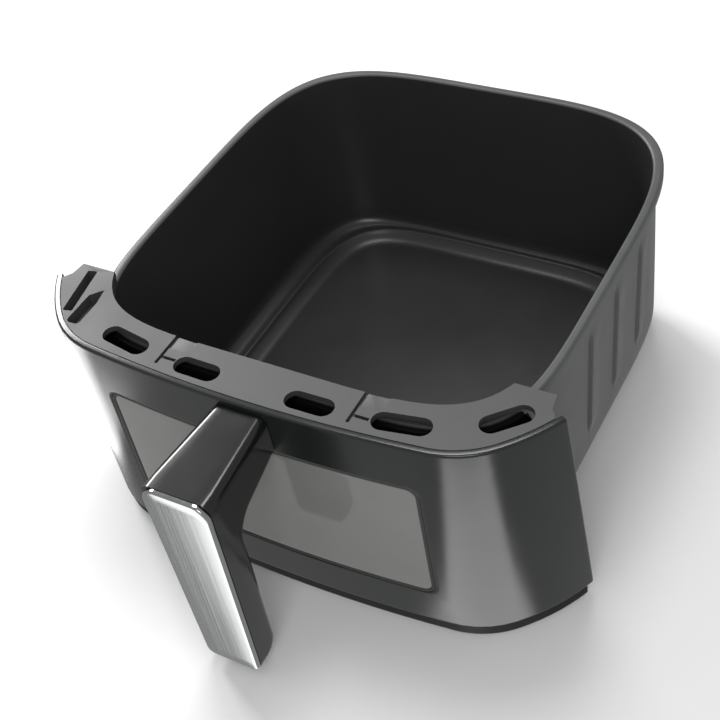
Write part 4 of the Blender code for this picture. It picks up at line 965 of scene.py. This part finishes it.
class MakeHandle(bpy.types.Operator):
    """Make the handle's body"""
    bl_idname = "fryer_drawer.make_handle"
    bl_label = "Handle"

    def execute(self, context):
        handle = solid_from("handle_moulding", handle_patches(),
                            handle_finish(context.scene.drawer_colours.handle))
        settle(handle, "handle_body")
        return {"FINISHED"}


class MakePlate(bpy.types.Operator):
    """Make the brushed plate on the handle's face"""
    bl_idname = "fryer_drawer.make_plate"
    bl_label = "Handle Plate"

    def execute(self, context):
        grid = plate_surface(context.scene.drawer_sizes.plate_edge)
        plate = solid_from("handle_trim_plate", [(grid, False, True)],
                           brushed_finish(context.scene.drawer_colours.steel))
        settle(plate, "handle_plate")
        return {"FINISHED"}


class MakeSteelwork(bpy.types.Operator):
    """Make the bracket, the handle's backing plate, the rivets and the screws"""
    bl_idname = "fryer_drawer.make_steelwork"
    bl_label = "Steelwork and Fasteners"

    def execute(self, context):
        zinc = zinc_finish(context.scene.drawer_colours.zinc)
        moulded("pan_bracket", "bracket_plate", zinc, STEEL_EDGE, segments=2)
        moulded("handle_backing", "backing_plate", zinc, STEEL_EDGE, segments=2)
        for node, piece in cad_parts.items():
            if "rivet" in node or "screw" in node:
                piece.data.materials.clear()
                piece.data.materials.append(zinc)
        return {"FINISHED"}


class MakeFeet(bpy.types.Operator):
    """Make the soft feet under the pan"""
    bl_idname = "fryer_drawer.make_feet"
    bl_label = "Feet"

    def execute(self, context):
        finish = rubber_finish(context.scene.drawer_colours.rubber)
        for node in sorted(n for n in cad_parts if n.startswith("foot_")):
            low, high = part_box(node)
            radius, height = (high.x - low.x) / 2, high.z - low.z
            turn = quarter(7)
            edge = np.stack([radius - FOOT_ROUND * (1 - np.cos(turn)),
                             FOOT_ROUND * (1 - np.sin(turn))], -1)
            profile = np.concatenate([[(0.0, height), (radius, height)], edge, [(0.0, 0.0)]])
            place = Matrix.Translation(((low.x + high.x) / 2, (low.y + high.y) / 2, low.z))
            foot = solid_from(node + "_pad", [(turned(profile, place), False, True)], finish)
            settle(foot, node)
        return {"FINISHED"}


class MakeStage(bpy.types.Operator):
    """Make the floor, the lights and the camera"""
    bl_idname = "fryer_drawer.make_stage"
    bl_label = "Stage"

    def execute(self, context):
        scene = context.scene
        make_floor()
        world = bpy.data.worlds.new("studio")
        scene.world = world
        world.use_nodes = True
        background = world.node_tree.nodes["Background"]
        background.inputs["Color"].default_value = (1.0, 1.0, 1.0, 1.0)
        background.inputs["Strength"].default_value = WORLD_STRENGTH
        scene.view_settings.view_transform = "Standard"
        for name, place, size, power in LIGHTS:
            area_light(name, place, size, power, (-Vector(place)).to_track_quat("-Z", "Y"))
        for name, (x, y), size, turn, power, lit in UNDER_LIGHTS:
            upwards = Matrix.Rotation(math.radians(turn), 3, "Z") @ Matrix.Rotation(math.pi, 3, "X")
            light = area_light(name, (x, y, UNDER_DEPTH), size, power, upwards.to_quaternion())
            light.light_linking.receiver_collection = bpy.data.collections.new(name)
            for piece in lit:
                light.light_linking.receiver_collection.objects.link(bpy.data.objects[piece])
        make_camera(scene)
        return {"FINISHED"}


def area_light(name, place, size, power, turn):
    """A rectangular light of a size and power, turned by a quaternion."""
    data = bpy.data.lights.new(name, "AREA")
    data.shape = "RECTANGLE"
    data.size, data.size_y = size
    data.energy = power
    light = bpy.data.objects.new(name, data)
    bpy.context.scene.collection.objects.link(light)
    light.location = place
    light.rotation_mode = "QUATERNION"
    light.rotation_quaternion = turn
    return light


def make_floor():
    """A wide pale sheet under the drawer, left out of mirror images so that reflectors show."""
    grid = np.array([[(-FLOOR_HALF, -FLOOR_HALF, STAND), (FLOOR_HALF, -FLOOR_HALF, STAND)],
                     [(-FLOOR_HALF, FLOOR_HALF, STAND), (FLOOR_HALF, FLOOR_HALF, STAND)]])
    mesh = bpy.data.meshes.new("floor")
    mesh.from_pydata(grid.reshape(-1, 3), [], [(0, 1, 3, 2)])
    floor = bpy.data.objects.new("floor", mesh)
    bpy.context.scene.collection.objects.link(floor)
    mesh.materials.append(paper_finish(linear(FLOOR_COLOUR)))
    floor.visible_glossy = False


def make_camera(scene):
    """The camera: turned, raised and rolled about its target, with no shift."""
    turn, rise, roll = (math.radians(a) for a in (CAMERA_TURN, CAMERA_RISE, CAMERA_ROLL))
    back = Vector((math.sin(turn) * math.cos(rise), -math.cos(turn) * math.cos(rise),
                   math.sin(rise)))
    right = Vector((math.cos(turn), math.sin(turn), 0.0))
    up = back.cross(right)
    side = right * math.cos(roll) - up * math.sin(roll)
    top = right * math.sin(roll) + up * math.cos(roll)
    data = bpy.data.cameras.new("camera")
    data.lens = CAMERA_LENS
    data.sensor_width = SENSOR_WIDTH
    data.clip_start = CLIP_START
    camera = bpy.data.objects.new("camera", data)
    axes = Matrix((side, top, back)).transposed().to_4x4()
    camera.matrix_world = Matrix.Translation(CAMERA_TARGET + back * CAMERA_DISTANCE) @ axes
    scene.collection.objects.link(camera)
    scene.camera = camera


# ---------------------------------------------------------------- panel and registration

OPERATORS = (MakePan, MakeShell, MakeWindow, MakeDeck, MakeBase, MakeHandle, MakePlate,
             MakeSteelwork, MakeFeet, MakeStage)


class DrawerPanel(bpy.types.Panel):
    """Lists the drawer's settings and the operators that make its pieces"""
    bl_idname = "VIEW3D_PT_fryer_drawer"
    bl_label = "Air Fryer Drawer"
    bl_space_type = "VIEW_3D"
    bl_region_type = "UI"
    bl_category = "Drawer"

    def draw(self, context):
        layout = self.layout
        for group in (context.scene.drawer_sizes, context.scene.drawer_colours):
            column = layout.column()
            for key in group.__annotations__:
                column.prop(group, key)
        for operator in OPERATORS:
            layout.operator(operator.bl_idname)


CLASSES = (DrawerSizes, DrawerColours) + OPERATORS + (DrawerPanel,)


def register():
    """Register the classes and hang the settings on the scene."""
    for cls in CLASSES:
        bpy.utils.register_class(cls)
    bpy.types.Scene.drawer_sizes = bpy.props.PointerProperty(type=DrawerSizes)
    bpy.types.Scene.drawer_colours = bpy.props.PointerProperty(type=DrawerColours)


def unregister():
    """Take the settings off the scene and unregister the classes in reverse."""
    del bpy.types.Scene.drawer_colours
    del bpy.types.Scene.drawer_sizes
    for cls in reversed(CLASSES):
        bpy.utils.unregister_class(cls)


def main():
    """Register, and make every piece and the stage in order."""
    register()
    for operator in OPERATORS:
        group, name = operator.bl_idname.split(".")
        getattr(getattr(bpy.ops, group), name)()


if __name__ == "__main__":
    main()
